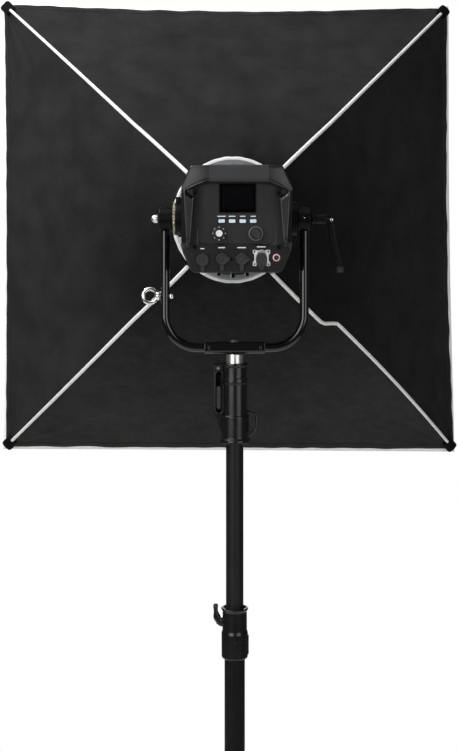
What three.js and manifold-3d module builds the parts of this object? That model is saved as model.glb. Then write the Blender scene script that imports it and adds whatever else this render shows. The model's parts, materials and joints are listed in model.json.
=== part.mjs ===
// A studio softbox on its lamp head, yoke and telescopic floor stand.
// Millimetres, +Z up. The origin is on the floor, under the stand's column.
// The lamp's control panel faces -Y and the softbox opens towards +Y.

import * as THREE from 'three';
import { mergeVertices } from 'three/addons/utils/BufferGeometryUtils.js';
import Module from 'manifold-3d';

const wasm = await Module();
wasm.setup();

// ---------------------------------------------------------------- driving dimensions

const GAP = 0.3;                    // clearance between pieces that touch or slide
const TILT_Z = 1950;                // height of the lamp's tilt axis above the floor

// stand
const COLUMN_R = 20;
const COLUMN_Z = [110, 1005];
const MID_TUBE_R = 17.5;
const MID_TUBE_Z = [420, 1240];
const RISER_R = 15;
const RISER_Z = [760, 1600];
const TUBE_WALL = 1.5;
const LEG_COUNT = 3;
const LEG_R = 12.5;
const LEG_WALL = 1.5;
const LEG_PIVOT_R = 52;
const LEG_PIVOT_Z = 880;
const LEG_LENGTH = 1056;            // from the pivot to the end of the metal tube's plug
const LEG_REACH = 684;              // the rear foot reaches as far back as the softbox reaches forward
const BRACE_LENGTH = 330;
const BRACE_ON_LEG = 380;           // distance from the leg's pivot to the brace's end
const BRACE_PIVOT_R = 46;
const BRACE_OFFSET = 16;            // sideways distance from a leg's middle to its brace
const BRACE_THICK = 4;
const FOOT_R = 19;

// yoke
const YOKE_X = 119.5;               // middle of each yoke arm
const YOKE_R = 8;
const YOKE_BASE_Z = TILT_Z - 221;
const YOKE_BEND = 56;
const HUB_R = 20.5;
const HUB_X = [107.8, 131.8];
const AXLE_R = 5;
const PIN_R = 14.3;                 // 28.6 mm stand pin

// lamp head
const LAMP_TOP = 80.6;              // above the tilt axis
const LAMP_BOTTOM = -90;
const LAMP_HALF = 87;
const REAR_Y = -165;                // rear face of the casing
const CASE_FRONT_Y = 95;
const RECESS = { x: 60.5, low: -43.7, high: 53.5, floor: -160 };
const SCREEN = { x: 1.5, z: 29, w: 57.4, h: 45.2 };
const BUTTON_X = [-24, -7.3, 9.5, 26.2];
const BUTTON = { z: -7.8, w: 10.6, h: 6 };
const KNOB_X = [-28, 30.3];
const KNOB_Z = -27.3;
const KNOB_R = 11.4;

// softbox
const RING_Y = [150.3, 172];        // speed ring
const RING_R = 107;
const RING_BORE = 62;
const SHELL_Y = [174, 680];         // rear and front edges of the fabric shell
const SHELL_HALF = [84, 502.5];     // half widths at those edges
const FABRIC = 2;
const ROD_R = 3;
const ROD_INSET = 8.5;

// ---------------------------------------------------------------- materials

function material(color, roughness, metalness = 0) {
  return new THREE.MeshStandardMaterial({ color, roughness, metalness });
}

const finishes = {
  standPaint: material(0x2b2c2d, 0.45, 0.3),
  casting: material(0x1d1e20, 0.35, 0.4),
  glossBlack: material(0x0c0c0d, 0.2, 0.2),
  chrome: material(0xd9dadb, 0.15, 1),
  bronze: material(0xb9ad86, 0.4, 0.8),
  casing: material(0x2d2d2f, 0.55),
  panel: material(0x333336, 0.6),
  screen: material(0x050506, 0.1),
  button: material(0xdfe8f0, 0.4),
  knob: material(0x1a1a1b, 0.5),
  rubber: material(0x141414, 0.85),
  aluminium: material(0xa9abad, 0.4, 0.9),
  led: material(0xe8d98a, 0.5),
  fabric: material(0x222224, 0.8),
  diffuser: material(0xf2f2ee, 0.85),
  rod: material(0xe6e6e4, 0.5),
};

// ---------------------------------------------------------------- geometry helpers

const rad = THREE.MathUtils.degToRad;

/** A solid of revolution about +Z from a closed outline of [radius, height] points. */
function turned(outline, sides = 24) {
  const points = outline.map(([r, z]) => new THREE.Vector2(r, z));
  const closed = outline[0][0] > 0 ? [...points, points[0].clone()] : points;
  return new THREE.LatheGeometry(closed, sides).rotateX(Math.PI / 2);
}

/** A hollow tube about +Z. */
function tube(outer, inner, low, high, sides = 28) {
  return turned([[inner, low], [outer, low], [outer, high], [inner, high]], sides);
}

/** A solid round bar about +Z. */
function bar(radius, low, high, sides = 20) {
  return new THREE.CylinderGeometry(radius, radius, high - low, sides)
    .rotateX(Math.PI / 2)
    .translate(0, 0, (low + high) / 2);
}

/** Turns geometry made about +Z so that it runs along +X. */
function alongX(geometry) {
  return geometry.rotateY(Math.PI / 2);
}

/** Turns geometry made about +Z so that it runs along +Y. */
function alongY(geometry) {
  return geometry.rotateX(-Math.PI / 2);
}

/** A box from its lowest to its highest corner. */
function block(low, high) {
  const size = high.map((value, axis) => value - low[axis]);
  const middle = high.map((value, axis) => (value + low[axis]) / 2);
  return new THREE.BoxGeometry(...size).translate(...middle);
}

/** A flat outline in the X-Z plane, extruded from one Y to another. */
function plateY(shape, fromY, toY, curveSegments = 8) {
  return new THREE.ExtrudeGeometry(shape, {
    depth: toY - fromY, bevelEnabled: false, curveSegments,
  }).rotateX(Math.PI / 2).translate(0, toY, 0);
}

/** A closed outline through the given points. */
function outlineOf(points) {
  return new THREE.Shape(points.map(([x, z]) => new THREE.Vector2(x, z)));
}

/** A rectangle with rounded corners, centred on (x, z). */
function roundedRectangle(x, z, width, height, radius) {
  const [left, right, low, high] = [x - width / 2, x + width / 2, z - height / 2, z + height / 2];
  const shape = new THREE.Shape();
  shape.absarc(right - radius, low + radius, radius, -Math.PI / 2, 0);
  shape.absarc(right - radius, high - radius, radius, 0, Math.PI / 2);
  shape.absarc(left + radius, high - radius, radius, Math.PI / 2, Math.PI);
  shape.absarc(left + radius, low + radius, radius, Math.PI, Math.PI * 1.5);
  return shape;
}

function toSolid(geometry) {
  const plain = geometry.clone();
  plain.deleteAttribute('normal');
  plain.deleteAttribute('uv');
  const merged = mergeVertices(plain, 1e-4);
  const mesh = new wasm.Mesh({
    numProp: 3,
    vertProperties: Float32Array.from(merged.attributes.position.array),
    triVerts: Uint32Array.from(merged.index.array),
  });
  mesh.merge();
  return new wasm.Manifold(mesh);
}

function toGeometry(solid) {
  const mesh = solid.getMesh();
  const geometry = new THREE.BufferGeometry();
  geometry.setAttribute('position', new THREE.BufferAttribute(Float32Array.from(mesh.vertProperties), 3));
  geometry.setIndex(new THREE.BufferAttribute(Uint32Array.from(mesh.triVerts), 1));
  geometry.computeVertexNormals();
  return geometry;
}

/** Joins the first geometries into one and cuts the others out of it. */
function carve(joined, cut = []) {
  let solid = toSolid(joined[0]);
  for (const geometry of joined.slice(1)) {
    solid = solid.add(toSolid(geometry));
  }
  for (const geometry of cut) {
    solid = solid.subtract(toSolid(geometry));
  }
  return toGeometry(solid);
}

const model = new THREE.Group();

function piece(name, geometry, finish, parent = model) {
  const mesh = new THREE.Mesh(geometry, finish.clone());
  mesh.name = name;
  parent.add(mesh);
  return mesh;
}

/** A group at the tilt axis, for the yoke, lamp and softbox. */
const head = new THREE.Group();
head.position.z = TILT_Z;
model.add(head);

// ---------------------------------------------------------------- stand

/** The open leg's angle from the column, which puts the foot's outer edge at LEG_REACH. */
const legRun = LEG_REACH - LEG_PIVOT_R;
const legAngle = Math.atan2(legRun, LEG_PIVOT_Z) - Math.asin(FOOT_R / Math.hypot(legRun, LEG_PIVOT_Z));
const braceEndR = LEG_PIVOT_R + BRACE_ON_LEG * Math.sin(legAngle);
const braceEndZ = LEG_PIVOT_Z - BRACE_ON_LEG * Math.cos(legAngle);
const braceAngle = Math.asin((braceEndR - BRACE_PIVOT_R) / BRACE_LENGTH);
const spreaderZ = braceEndZ - BRACE_LENGTH * Math.cos(braceAngle);

/** One group for each leg: local +X points outwards, local +Y sideways. */
function legGroup(index) {
  const group = new THREE.Group();
  group.rotation.z = rad(-90 + index * 360 / LEG_COUNT);
  model.add(group);
  return group;
}

/** Two ears that hold a pivot, on a collar about the column, for every leg. */
function forkEars(pivotR, pivotZ, inside, outside, reach) {
  const ears = [];
  for (let index = 0; index < LEG_COUNT; index += 1) {
    for (const [from, to] of [[inside, outside], [-outside, -inside]]) {
      const ear = block([COLUMN_R + 4, from, pivotZ - reach], [pivotR + reach, to, pivotZ + reach]);
      ears.push(ear.rotateZ(rad(-90 + index * 360 / LEG_COUNT)));
    }
  }
  return ears;
}

function buildColumn() {
  const plug = bar(COLUMN_R - 1, COLUMN_Z[0], COLUMN_Z[0] + 12, 28);
  const shell = tube(COLUMN_R, COLUMN_R - TUBE_WALL, ...COLUMN_Z);
  piece('base_column', carve([shell, plug]), finishes.standPaint);
}

function buildLegHub() {
  const [low, high] = [LEG_PIVOT_Z - 26, LEG_PIVOT_Z + 20];
  const collar = turned([
    [COLUMN_R + GAP, low], [COLUMN_R + 11, low], [COLUMN_R + 13, low + 3],
    [COLUMN_R + 13, high - 3], [COLUMN_R + 10, high], [COLUMN_R + GAP, high],
  ]);
  const ears = forkEars(LEG_PIVOT_R, LEG_PIVOT_Z, 5.4, 10.4, 9);
  piece('leg_hub', carve([collar, ...ears]), finishes.casting);
}

function buildSpreader() {
  const collar = turned([
    [COLUMN_R + GAP, spreaderZ - 16], [COLUMN_R + 9, spreaderZ - 16],
    [COLUMN_R + 11, spreaderZ - 12], [COLUMN_R + 11, spreaderZ + 12],
    [COLUMN_R + 9, spreaderZ + 16], [COLUMN_R + GAP, spreaderZ + 16],
  ]);
  const side = BRACE_OFFSET + BRACE_THICK / 2 + 0.6;
  const ears = [];
  for (let index = 0; index < LEG_COUNT; index += 1) {
    const ear = block([8, side, spreaderZ - 8], [BRACE_PIVOT_R + 8, side + 5, spreaderZ + 8]);
    ears.push(ear.rotateZ(rad(-90 + index * 360 / LEG_COUNT)));
  }
  const bore = bar(COLUMN_R + GAP, spreaderZ - 20, spreaderZ + 20, 24);
  piece('spreader_collar', carve([collar, ...ears], [bore]), finishes.casting);
}

/** A leg made hanging straight down from its pivot at the local origin. */
function legSolid() {
  const footTop = -(LEG_LENGTH - 60);
  const pipe = tube(LEG_R, LEG_R - LEG_WALL, footTop, -24, 20);
  const plug = bar(LEG_R - 0.5, -40, -24.5, 20);
  const tang = block([-8, -4.9, -30], [8, 4.9, 0]);
  const eye = bar(8, -4.9, 4.9, 16).rotateX(Math.PI / 2);
  return carve([pipe, plug, tang, eye]);
}

/** A rubber foot on the leg's end, cut flat where it meets the floor. */
function footSolid(reach) {
  const end = -LEG_LENGTH;
  const cup = turned([
    [0, end - 40], [FOOT_R, end - 40], [FOOT_R, end + 40], [LEG_R + 3, end + 66],
    [LEG_R + GAP, end + 66], [LEG_R + GAP, end + 60 - GAP], [0, end + 60 - GAP],
  ], 20);
  cup.rotateY(-legAngle).translate(LEG_PIVOT_R, 0, LEG_PIVOT_Z);
  const ground = block([reach - 300, -100, -300], [reach + 300, 100, 0]);
  return carve([cup], [ground]);
}

function buildLegs() {
  const reach = LEG_PIVOT_R + LEG_LENGTH * Math.sin(legAngle);
  for (let index = 0; index < LEG_COUNT; index += 1) {
    const group = legGroup(index);
    const number = index + 1;
    const leg = piece(`leg_${number}`, legSolid(), finishes.standPaint, group);
    leg.position.set(LEG_PIVOT_R, 0, LEG_PIVOT_Z);
    leg.rotation.y = -legAngle;
    piece(`foot_${number}`, footSolid(reach), finishes.rubber, group);
    const brace = piece(`brace_${number}`, braceSolid(), finishes.standPaint, group);
    brace.position.set(BRACE_PIVOT_R, BRACE_OFFSET, spreaderZ);
    brace.rotation.y = braceAngle;
  }
}

/** A flat bar with round ends, standing straight up from its pivot at the local origin. */
function braceSolid() {
  const shape = new THREE.Shape();
  shape.absarc(0, 0, 7, Math.PI, Math.PI * 2);
  shape.absarc(0, BRACE_LENGTH, 7, 0, Math.PI);
  return new THREE.ExtrudeGeometry(shape, {
    depth: BRACE_THICK, bevelEnabled: false, curveSegments: 6,
  }).rotateX(Math.PI / 2).translate(0, BRACE_THICK / 2, 0);
}

/** A clamping collar: it grips the lower tube and lets the upper tube slide. */
function clampCollar(low, high, lowerR, upperR, shoulder) {
  return turned([
    [lowerR + GAP, low], [lowerR + 4, low], [lowerR + 5.7, low + 3], [lowerR + 5.7, low + 44],
    [lowerR + 4.5, low + 46], [lowerR + 4.5, high - 8], [lowerR + 6.5, high - 2],
    [lowerR + 6.5, high], [upperR + GAP, high], [upperR + GAP, shoulder], [lowerR + GAP, shoulder],
  ]);
}

/** A bent thumb lever with its screw, pointing along -X from the local origin. */
function thumbLever() {
  const screw = alongX(bar(4, -8, 7, 16));
  const paddle = new THREE.ExtrudeGeometry(outlineOf([
    [-4, -12], [-13, -4], [-13.5, 6], [-10.5, 22], [-7, 22], [-8, 8], [-4, 4],
  ]), { depth: 12, bevelEnabled: false }).rotateX(Math.PI / 2).translate(0, 6, 0);
  return carve([screw, paddle]);
}

function buildMast() {
  piece('mid_tube', tube(MID_TUBE_R, MID_TUBE_R - TUBE_WALL, ...MID_TUBE_Z), finishes.standPaint);
  piece('riser_tube', tube(RISER_R, RISER_R - TUBE_WALL, ...RISER_Z), finishes.standPaint);
  const collars = [
    ['base_clamp', 935, 1027, COLUMN_R, MID_TUBE_R, COLUMN_Z[1] + GAP],
    ['riser_clamp', TILT_Z - 759, TILT_Z - 667, MID_TUBE_R, RISER_R, MID_TUBE_Z[1] + GAP],
  ];
  for (const [name, low, high, lowerR, upperR, shoulder] of collars) {
    const leverZ = high - 26;
    const boss = alongX(bar(7.5, -lowerR - 8, -lowerR - 3, 20)).translate(0, 0, leverZ);
    const hole = alongX(bar(4 + GAP, -lowerR - 20, -lowerR, 20)).translate(0, 0, leverZ);
    const ring = carve([clampCollar(low, high, lowerR, upperR, shoulder), boss], [hole]);
    piece(name, ring, finishes.casting);
    const lever = piece(`${name}_lever`, thumbLever(), finishes.casting);
    lever.position.set(-lowerR - 8, 0, leverZ);
  }
}

/** The casting at the riser's top that takes the yoke's pin, with its fin and tie loop. */
function buildReceiver() {
  const [low, high] = [TILT_Z - 384, TILT_Z - 247.5];
  const body = turned([
    [0, low], [26, low], [25.5, low + 3], [24.6, low + 5], [24.6, low + 46], [22.2, low + 48],
    [22.2, high - 36], [23.4, high - 34], [23.4, high - 27], [22.2, high - 25],
    [22.2, high - 7], [24, high - 4], [24, high], [0, high],
  ]);
  const fin = new THREE.ExtrudeGeometry(roundedRectangle(-25.5, high - 47, 22, 94, 7), {
    depth: 16, bevelEnabled: false, curveSegments: 4,
  }).rotateX(Math.PI / 2).translate(0, 8, 0);
  const slot = new THREE.ExtrudeGeometry(roundedRectangle(-28.6, high - 49, 9, 70, 4.4), {
    depth: 30, bevelEnabled: false, curveSegments: 4,
  }).rotateX(Math.PI / 2).translate(0, 15, 0);
  const loop = new THREE.ExtrudeGeometry(outlineOf([
    [22, low + 52], [28, low + 51], [38, low + 46], [40.5, low + 40], [40.5, low + 22],
    [37, low + 16], [22, low + 10],
  ]), { depth: 7, bevelEnabled: false }).rotateX(Math.PI / 2).translate(0, 3.5, 0);
  const eye = new THREE.ExtrudeGeometry(outlineOf([
    [25.8, low + 45], [34, low + 42], [35.8, low + 38], [35.8, low + 24], [33, low + 21],
    [25.8, low + 18],
  ]), { depth: 20, bevelEnabled: false }).rotateX(Math.PI / 2).translate(0, 10, 0);
  const riserBore = bar(RISER_R + GAP, low - 5, RISER_Z[1] + GAP, 28);
  const pinBore = bar(PIN_R + GAP, high - 84, high + 5, 24);
  piece('receiver', carve([body, fin, loop], [slot, eye, riserBore, pinBore]), finishes.casting);
  const latch = new THREE.ExtrudeGeometry(roundedRectangle(0, -20, 7, 42, 3.4), {
    depth: 9, bevelEnabled: false, curveSegments: 4,
  }).rotateX(Math.PI / 2).translate(-28.6, 4.5, high - 39);
  piece('receiver_latch', latch, finishes.standPaint);
}

// ---------------------------------------------------------------- yoke

class YokeLine extends THREE.Curve {
  /** Down one arm, round a bend, along the base, round the other bend and up. */
  getPoint(t, target = new THREE.Vector3()) {
    const top = -20.5 - GAP;
    const base = YOKE_BASE_Z - TILT_Z;
    const arm = top - (base + YOKE_BEND);
    const arc = YOKE_BEND * Math.PI / 2;
    const flat = YOKE_X - YOKE_BEND;
    const half = arm + arc + flat;
    const side = t < 0.5 ? -1 : 1;
    const along = half * (t < 0.5 ? t * 2 : 2 - t * 2);
    if (along <= arm) {
      return target.set(side * YOKE_X, 0, top - along);
    }
    if (along <= arm + arc) {
      const turn = (along - arm) / YOKE_BEND;
      const x = YOKE_X - YOKE_BEND * (1 - Math.cos(turn));
      return target.set(side * x, 0, base + YOKE_BEND * (1 - Math.sin(turn)));
    }
    return target.set(side * (half - along), 0, base);
  }
}

function buildYoke() {
  const ring = new THREE.Shape();
  ring.absarc(0, 0, YOKE_R, 0, Math.PI * 2);
  const tubeShape = new THREE.ExtrudeGeometry(ring, {
    steps: 32, curveSegments: 7, bevelEnabled: false, extrudePath: new YokeLine(),
  });
  piece('yoke_tube', tubeShape, finishes.glossBlack, head);

  const base = YOKE_BASE_Z - TILT_Z;
  const clear = YOKE_R + GAP + 0.2;
  const saddle = block([-52, -13, base - 10.5], [52, 13, base + 9.5]);
  const groove = alongX(bar(clear, -60, 60, 24)).translate(0, 0, base);
  const mouth = block([-60, -40, base], [60, 0, base + 20]);
  piece('yoke_bracket', carve([saddle], [groove, mouth]), finishes.casting, head);

  const pinTop = base - 10.5 - GAP;
  const stem = turned([
    [0, pinTop - 95], [PIN_R - 1.5, pinTop - 95], [PIN_R, pinTop - 93], [PIN_R, pinTop - 62],
    [PIN_R - 2.2, pinTop - 58], [PIN_R - 2.2, pinTop - 44], [PIN_R, pinTop - 40], [PIN_R, pinTop],
    [0, pinTop],
  ]);
  piece('stand_pin', stem, finishes.chrome, head);

  for (const [name, side] of [['yoke_hub_left', -1], ['yoke_hub_right', 1]]) {
    const [near, far] = side < 0 ? [-HUB_X[1], -HUB_X[0]] : HUB_X;
    const body = alongX(turned([
      [0, near], [HUB_R - 1.5, near], [HUB_R, near + 1.5], [HUB_R, far - 1.5],
      [HUB_R - 1.5, far], [0, far],
    ], 24));
    const bore = alongX(bar(AXLE_R + GAP, near - 5, far + 5, 16));
    const under = block([near - 5, -40, -40], [far + 5, 40, -20.5]);
    piece(name, carve([body], [bore, under]), finishes.casting, head);
  }
}

/** The ring screw through the left arm that a safety cable clips to. */
function buildEyeBolt() {
  const z = -132.5;
  const middle = -YOKE_X - YOKE_R;
  const torus = new THREE.TorusGeometry(12, 3, 8, 20).rotateX(Math.PI / 2).translate(middle - 19, 0, z);
  const collar = alongX(bar(8, middle - 7, middle - GAP, 20)).translate(0, 0, z);
  piece('safety_eye_bolt', carve([torus, collar]), finishes.chrome, head);
}

function buildPivots() {
  const nutX = -HUB_X[1] - GAP;
  const dome = alongX(turned([
    [0, -14], [3.4, -13], [6, -9.5], [7.2, -5], [7.2, 0], [AXLE_R, 0], [AXLE_R, 44], [0, 44],
  ], 16)).translate(nutX, 0, 0);
  piece('pivot_bolt', dome, finishes.chrome, head);

  const left = alongX(turned([
    [AXLE_R + GAP, -107.4], [24, -107.4], [28, -105], [30.5, -104.6], [30.5, -99.6],
    [28.5, -99], [28.5, -88.4], [AXLE_R + GAP, -88.4],
  ], 28));
  piece('tilt_disc_left', left, finishes.bronze, head);
  const right = alongX(turned([
    [AXLE_R + GAP, 88.4], [20, 88.4], [20, 99], [29, 99.6], [29, 106.2], [26, 107.4],
    [AXLE_R + GAP, 107.4],
  ], 28));
  piece('tilt_disc_right', right, finishes.casting, head);
}

/** The clamping lever on the right: a threaded shaft, a round head and a tapered handle. */
function buildTiltLever() {
  const start = HUB_X[1] + GAP;
  const shaft = alongX(turned([
    [0, 90], [AXLE_R, 90], [AXLE_R, start], [8.3, start], [8.3, start + 33], [7, start + 35],
    [0, start + 35],
  ], 20));
  const handle = new THREE.ExtrudeGeometry(outlineOf([
    [157, 6], [166, 7], [170.5, 3], [187.5, -88], [186, -91.5], [177, -92.5], [174.5, -89],
    [161.5, -38], [158, -12],
  ]), { depth: 13, bevelEnabled: false }).rotateX(Math.PI / 2).translate(0, 6.5, 0);
  piece('tilt_lever', carve([shaft, handle]), finishes.glossBlack, head);
}

// ---------------------------------------------------------------- lamp head

/** The casing's outline seen from behind, drawn in by some millimetres. */
function casingOutline(inset = 0) {
  const w = LAMP_HALF - inset;
  return outlineOf([
    [-73 + inset, LAMP_TOP - inset], [-w, 45], [-w, -52], [-71 + inset, LAMP_BOTTOM + inset],
    [71 - inset, LAMP_BOTTOM + inset], [w, -52], [w, 45], [73 - inset, LAMP_TOP - inset],
  ]);
}

function buildCasing() {
  const rearLip = REAR_Y + 27;
  const shell = plateY(casingOutline(1), rearLip + GAP, CASE_FRONT_Y);
  const inside = plateY(casingOutline(5), rearLip - 5, CASE_FRONT_Y - 5);
  const mouth = alongY(bar(56, CASE_FRONT_Y - 20, CASE_FRONT_Y + 5, 28));
  const axle = alongX(bar(AXLE_R + 3, -100, 100, 20));
  piece('lamp_casing', carve([shell], [inside, mouth, axle]), finishes.casing, head);

  const body = plateY(casingOutline(0), REAR_Y, rearLip);
  const hollow = plateY(casingOutline(5), RECESS.floor + 10, rearLip + 5);
  const topBar = plateY(outlineOf([
    [-73, LAMP_TOP], [-86, 47], [-62, 55.5], [62, 55.5], [86, 47], [73, LAMP_TOP],
  ]), REAR_Y - 10, REAR_Y + 5);
  const pillars = [-1, 1].map((side) => plateY(outlineOf([
    [side * 87, 44], [side * 70, 36], [side * 80, -38], [side * 86, -44],
  ]), REAR_Y - 8, REAR_Y + 5));
  const recess = plateY(roundedRectangle(0, (RECESS.low + RECESS.high) / 2, 2 * RECESS.x,
    RECESS.high - RECESS.low, 4), REAR_Y - 20, RECESS.floor + 12, 4);
  const sockets = [[-54.2, -69.7, 8], [-23.5, -68.5, 8], [8, -68.5, 8], [62.8, -65.9, 5]];
  const holes = sockets.map(([x, z, r]) =>
    alongY(bar(r + GAP, REAR_Y - 5, REAR_Y + 20, 16)).translate(x, 0, z));
  const powerHole = block([26.7, REAR_Y - 5, -79.6 + 2.3], [52.1, REAR_Y + 20, -54.2 - 2.3]);
  piece('rear_cover', carve([body, topBar, ...pillars], [hollow, recess, ...holes, powerHole]),
    finishes.casing, head);
}

function buildControls() {
  const width = 2 * RECESS.x - 2 * GAP;
  const height = RECESS.high - RECESS.low - 2 * GAP;
  const middle = (RECESS.high + RECESS.low) / 2;
  const face = plateY(roundedRectangle(0, middle, width, height, 3.6), RECESS.floor, RECESS.floor + 5, 4);
  const cuts = [plateY(roundedRectangle(SCREEN.x, SCREEN.z, SCREEN.w + 2 * GAP, SCREEN.h + 2 * GAP, 2),
    RECESS.floor - 5, RECESS.floor + 9, 4)];
  for (const x of BUTTON_X) {
    cuts.push(plateY(roundedRectangle(x, BUTTON.z, BUTTON.w + 0.8, BUTTON.h + 0.8, 1.4),
      RECESS.floor - 5, RECESS.floor + 9, 3));
  }
  for (const x of KNOB_X) {
    cuts.push(alongY(bar(3 + GAP, RECESS.floor - 5, RECESS.floor + 9, 12)).translate(x, 0, KNOB_Z));
  }
  piece('control_panel', carve([face], cuts), finishes.panel, head);

  const glass = plateY(roundedRectangle(SCREEN.x, SCREEN.z, SCREEN.w, SCREEN.h, 1.8),
    RECESS.floor - 0.6, RECESS.floor + 4, 4);
  piece('display_screen', glass, finishes.screen, head);

  BUTTON_X.forEach((x, index) => {
    const cap = plateY(roundedRectangle(x, BUTTON.z, BUTTON.w, BUTTON.h, 1.2),
      RECESS.floor - 1.6, RECESS.floor + 4, 3);
    piece(`menu_button_${index + 1}`, cap, finishes.button, head);
  });

  ['dimmer_knob', 'select_knob'].forEach((name, index) => {
    const face = RECESS.floor - GAP;
    const knob = alongY(turned([
      [0, face - 12], [KNOB_R - 2.5, face - 12], [KNOB_R - 1, face - 11], [KNOB_R, face - 1],
      [KNOB_R - 0.4, face - 0.2], [3, face - 0.2], [3, face + 7], [0, face + 7],
    ], 24)).translate(KNOB_X[index], 0, KNOB_Z);
    piece(name, knob, finishes.knob, head);
  });
}

function buildConnectors() {
  const face = REAR_Y - GAP;
  const caps = [['usb_cap', -54.2, -69.7], ['control_cap_in', -23.5, -68.5], ['control_cap_out', 8, -68.5]];
  for (const [name, x, z] of caps) {
    const lid = alongY(turned([
      [0, face - 4], [8.5, face - 4], [10.4, face - 2.5], [10.4, face], [0, face],
    ])).translate(x, 0, z);
    const strap = plateY(roundedRectangle(x, z - 11.5, 5, 14, 2.2), face - 2, face, 4);
    piece(name, carve([lid, strap]), finishes.rubber, head);
  }
  const flange = plateY(roundedRectangle(39.4, -66.9, 27.2, 25.4, 2.5), face - 2.5, face, 4);
  const neck = block([27, face - 1, -77], [51.8, face + 12, -56.8]);
  piece('power_inlet', carve([flange, neck]), finishes.aluminium, head);
  const fuse = alongY(turned([
    [0, face - 3], [5, face - 3], [6.4, face - 1.8], [6.4, face], [5, face], [5, face + 12],
    [0, face + 12],
  ], 16)).translate(62.8, 0, -65.9);
  piece('fuse_cap', fuse, finishes.knob, head);
}

function buildOptics() {
  const mount = alongY(turned([
    [50, CASE_FRONT_Y + GAP], [70, CASE_FRONT_Y + GAP], [70, 120], [66, 124], [66, 134],
    [61, 136], [61, RING_Y[0] + 18], [50, RING_Y[0] + 18],
  ], 32));
  piece('lens_mount', mount, finishes.casing, head);

  const fins = new THREE.Shape();
  const finCount = 20;
  for (let index = 0; index < finCount; index += 1) {
    const middle = index * 2 * Math.PI / finCount;
    for (const [turn, radius] of [[-0.11, 26], [-0.035, 56], [0.035, 56], [0.11, 26]]) {
      const [x, z] = [radius * Math.cos(middle + turn), radius * Math.sin(middle + turn)];
      if (index === 0 && turn === -0.11) {
        fins.moveTo(x, z);
      } else {
        fins.lineTo(x, z);
      }
    }
  }
  piece('heat_sink', plateY(fins, -55, 50), finishes.aluminium, head);

  const led = alongY(turned([
    [0, 50 + GAP], [34, 50 + GAP], [34, 56], [20, 56.4], [17, 62], [9, 66], [0, 67],
  ], 20));
  piece('led_module', led, finishes.led, head);

  const bladeCount = 7;
  const blades = [alongY(bar(20, -92, -74, 20))];
  for (let index = 0; index < bladeCount; index += 1) {
    const blade = block([15, -89, -2], [54, -77, 2]).rotateY(index * 2 * Math.PI / bladeCount);
    blades.push(blade);
  }
  piece('cooling_fan', carve(blades), finishes.knob, head);
}

// ---------------------------------------------------------------- softbox

/** Where a corner seam of the shell lies, from its rear end (0) to its front end (1). */
function seam(t) {
  const half = SHELL_HALF[0] + t * (SHELL_HALF[1] - SHELL_HALF[0]);
  return [half, SHELL_Y[0] + t * (SHELL_Y[1] - SHELL_Y[0])];
}

function buildSpeedRing() {
  const ring = alongY(turned([
    [RING_BORE, RING_Y[0]], [RING_R, RING_Y[0]], [RING_R, RING_Y[1] - 2], [RING_R - 2, RING_Y[1]],
    [RING_BORE, RING_Y[1]],
  ], 40));
  const notches = [80, 90, 100, 260, 270, 280].map((angle) =>
    block([RING_R - 8, RING_Y[0] - 5, -3], [RING_R + 5, RING_Y[0] + 6, 3]).rotateY(-rad(angle)));
  piece('speed_ring', carve([ring], notches), finishes.aluminium, head);
}

function buildShell() {
  const slope = Math.atan2(SHELL_HALF[1] - SHELL_HALF[0], SHELL_Y[1] - SHELL_Y[0]);
  const length = Math.hypot(SHELL_HALF[1] - SHELL_HALF[0], SHELL_Y[1] - SHELL_Y[0]);
  const trim = FABRIC + 1;
  const names = ['panel_top', 'panel_left', 'panel_bottom', 'panel_right'];
  names.forEach((name, index) => {
    const shape = outlineOf([
      [-SHELL_HALF[0] + trim, 0], [SHELL_HALF[0] - trim, 0],
      [SHELL_HALF[1] - trim, length], [-SHELL_HALF[1] + trim, length],
    ]);
    const panel = new THREE.ExtrudeGeometry(shape, { depth: FABRIC, bevelEnabled: false })
      .translate(0, 0, -FABRIC)
      .rotateX(slope)
      .translate(0, SHELL_Y[0], SHELL_HALF[0])
      .rotateY(-index * Math.PI / 2);
    piece(name, panel, finishes.fabric, head);
  });

  const baffleHalf = 225;
  const [, baffleY] = seam(0.46);
  piece('inner_baffle', block([-baffleHalf, baffleY, -baffleHalf], [baffleHalf, baffleY + FABRIC, baffleHalf]),
    finishes.diffuser, head);
  const front = SHELL_HALF[1] + 2;
  const frontY = SHELL_Y[1] + FABRIC;
  piece('front_diffuser', block([-front, frontY, -front], [front, frontY + FABRIC, front]),
    finishes.diffuser, head);
}

function buildRods() {
  const corners = [['rod_top_right', 1, 1], ['rod_top_left', -1, 1],
    ['rod_bottom_left', -1, -1], ['rod_bottom_right', 1, -1]];
  for (const [name, sideX, sideZ] of corners) {
    const ends = [seam(0.003), seam(0.985)].map(([half, y]) =>
      new THREE.Vector3(sideX * (half - ROD_INSET), y, sideZ * (half - ROD_INSET)));
    const direction = ends[1].clone().sub(ends[0]);
    const rod = new THREE.CylinderGeometry(ROD_R, ROD_R, direction.length(), 12);
    const mesh = piece(name, rod, finishes.rod, head);
    mesh.position.copy(ends[0].clone().add(ends[1]).multiplyScalar(0.5));
    mesh.quaternion.setFromUnitVectors(new THREE.Vector3(0, 1, 0), direction.normalize());
  }
}

buildColumn();
buildLegHub();
buildSpreader();
buildLegs();
buildMast();
buildReceiver();
buildYoke();
buildEyeBolt();
buildPivots();
buildTiltLever();
buildCasing();
buildControls();
buildConnectors();
buildOptics();
buildSpeedRing();
buildShell();
buildRods();

export default model;
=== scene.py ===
"""A studio softbox on its lamp head, yoke and telescopic stand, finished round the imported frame.

Meshes are made in millimetres. "Head" pieces are measured from the lamp's tilt axis and "floor" pieces
from the point under the column. +Y is where the softbox points, and the control panel faces -Y.
"""
import json
import math
from contextlib import contextmanager

import bmesh
import bpy
from mathutils import Matrix, Vector, noise


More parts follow.
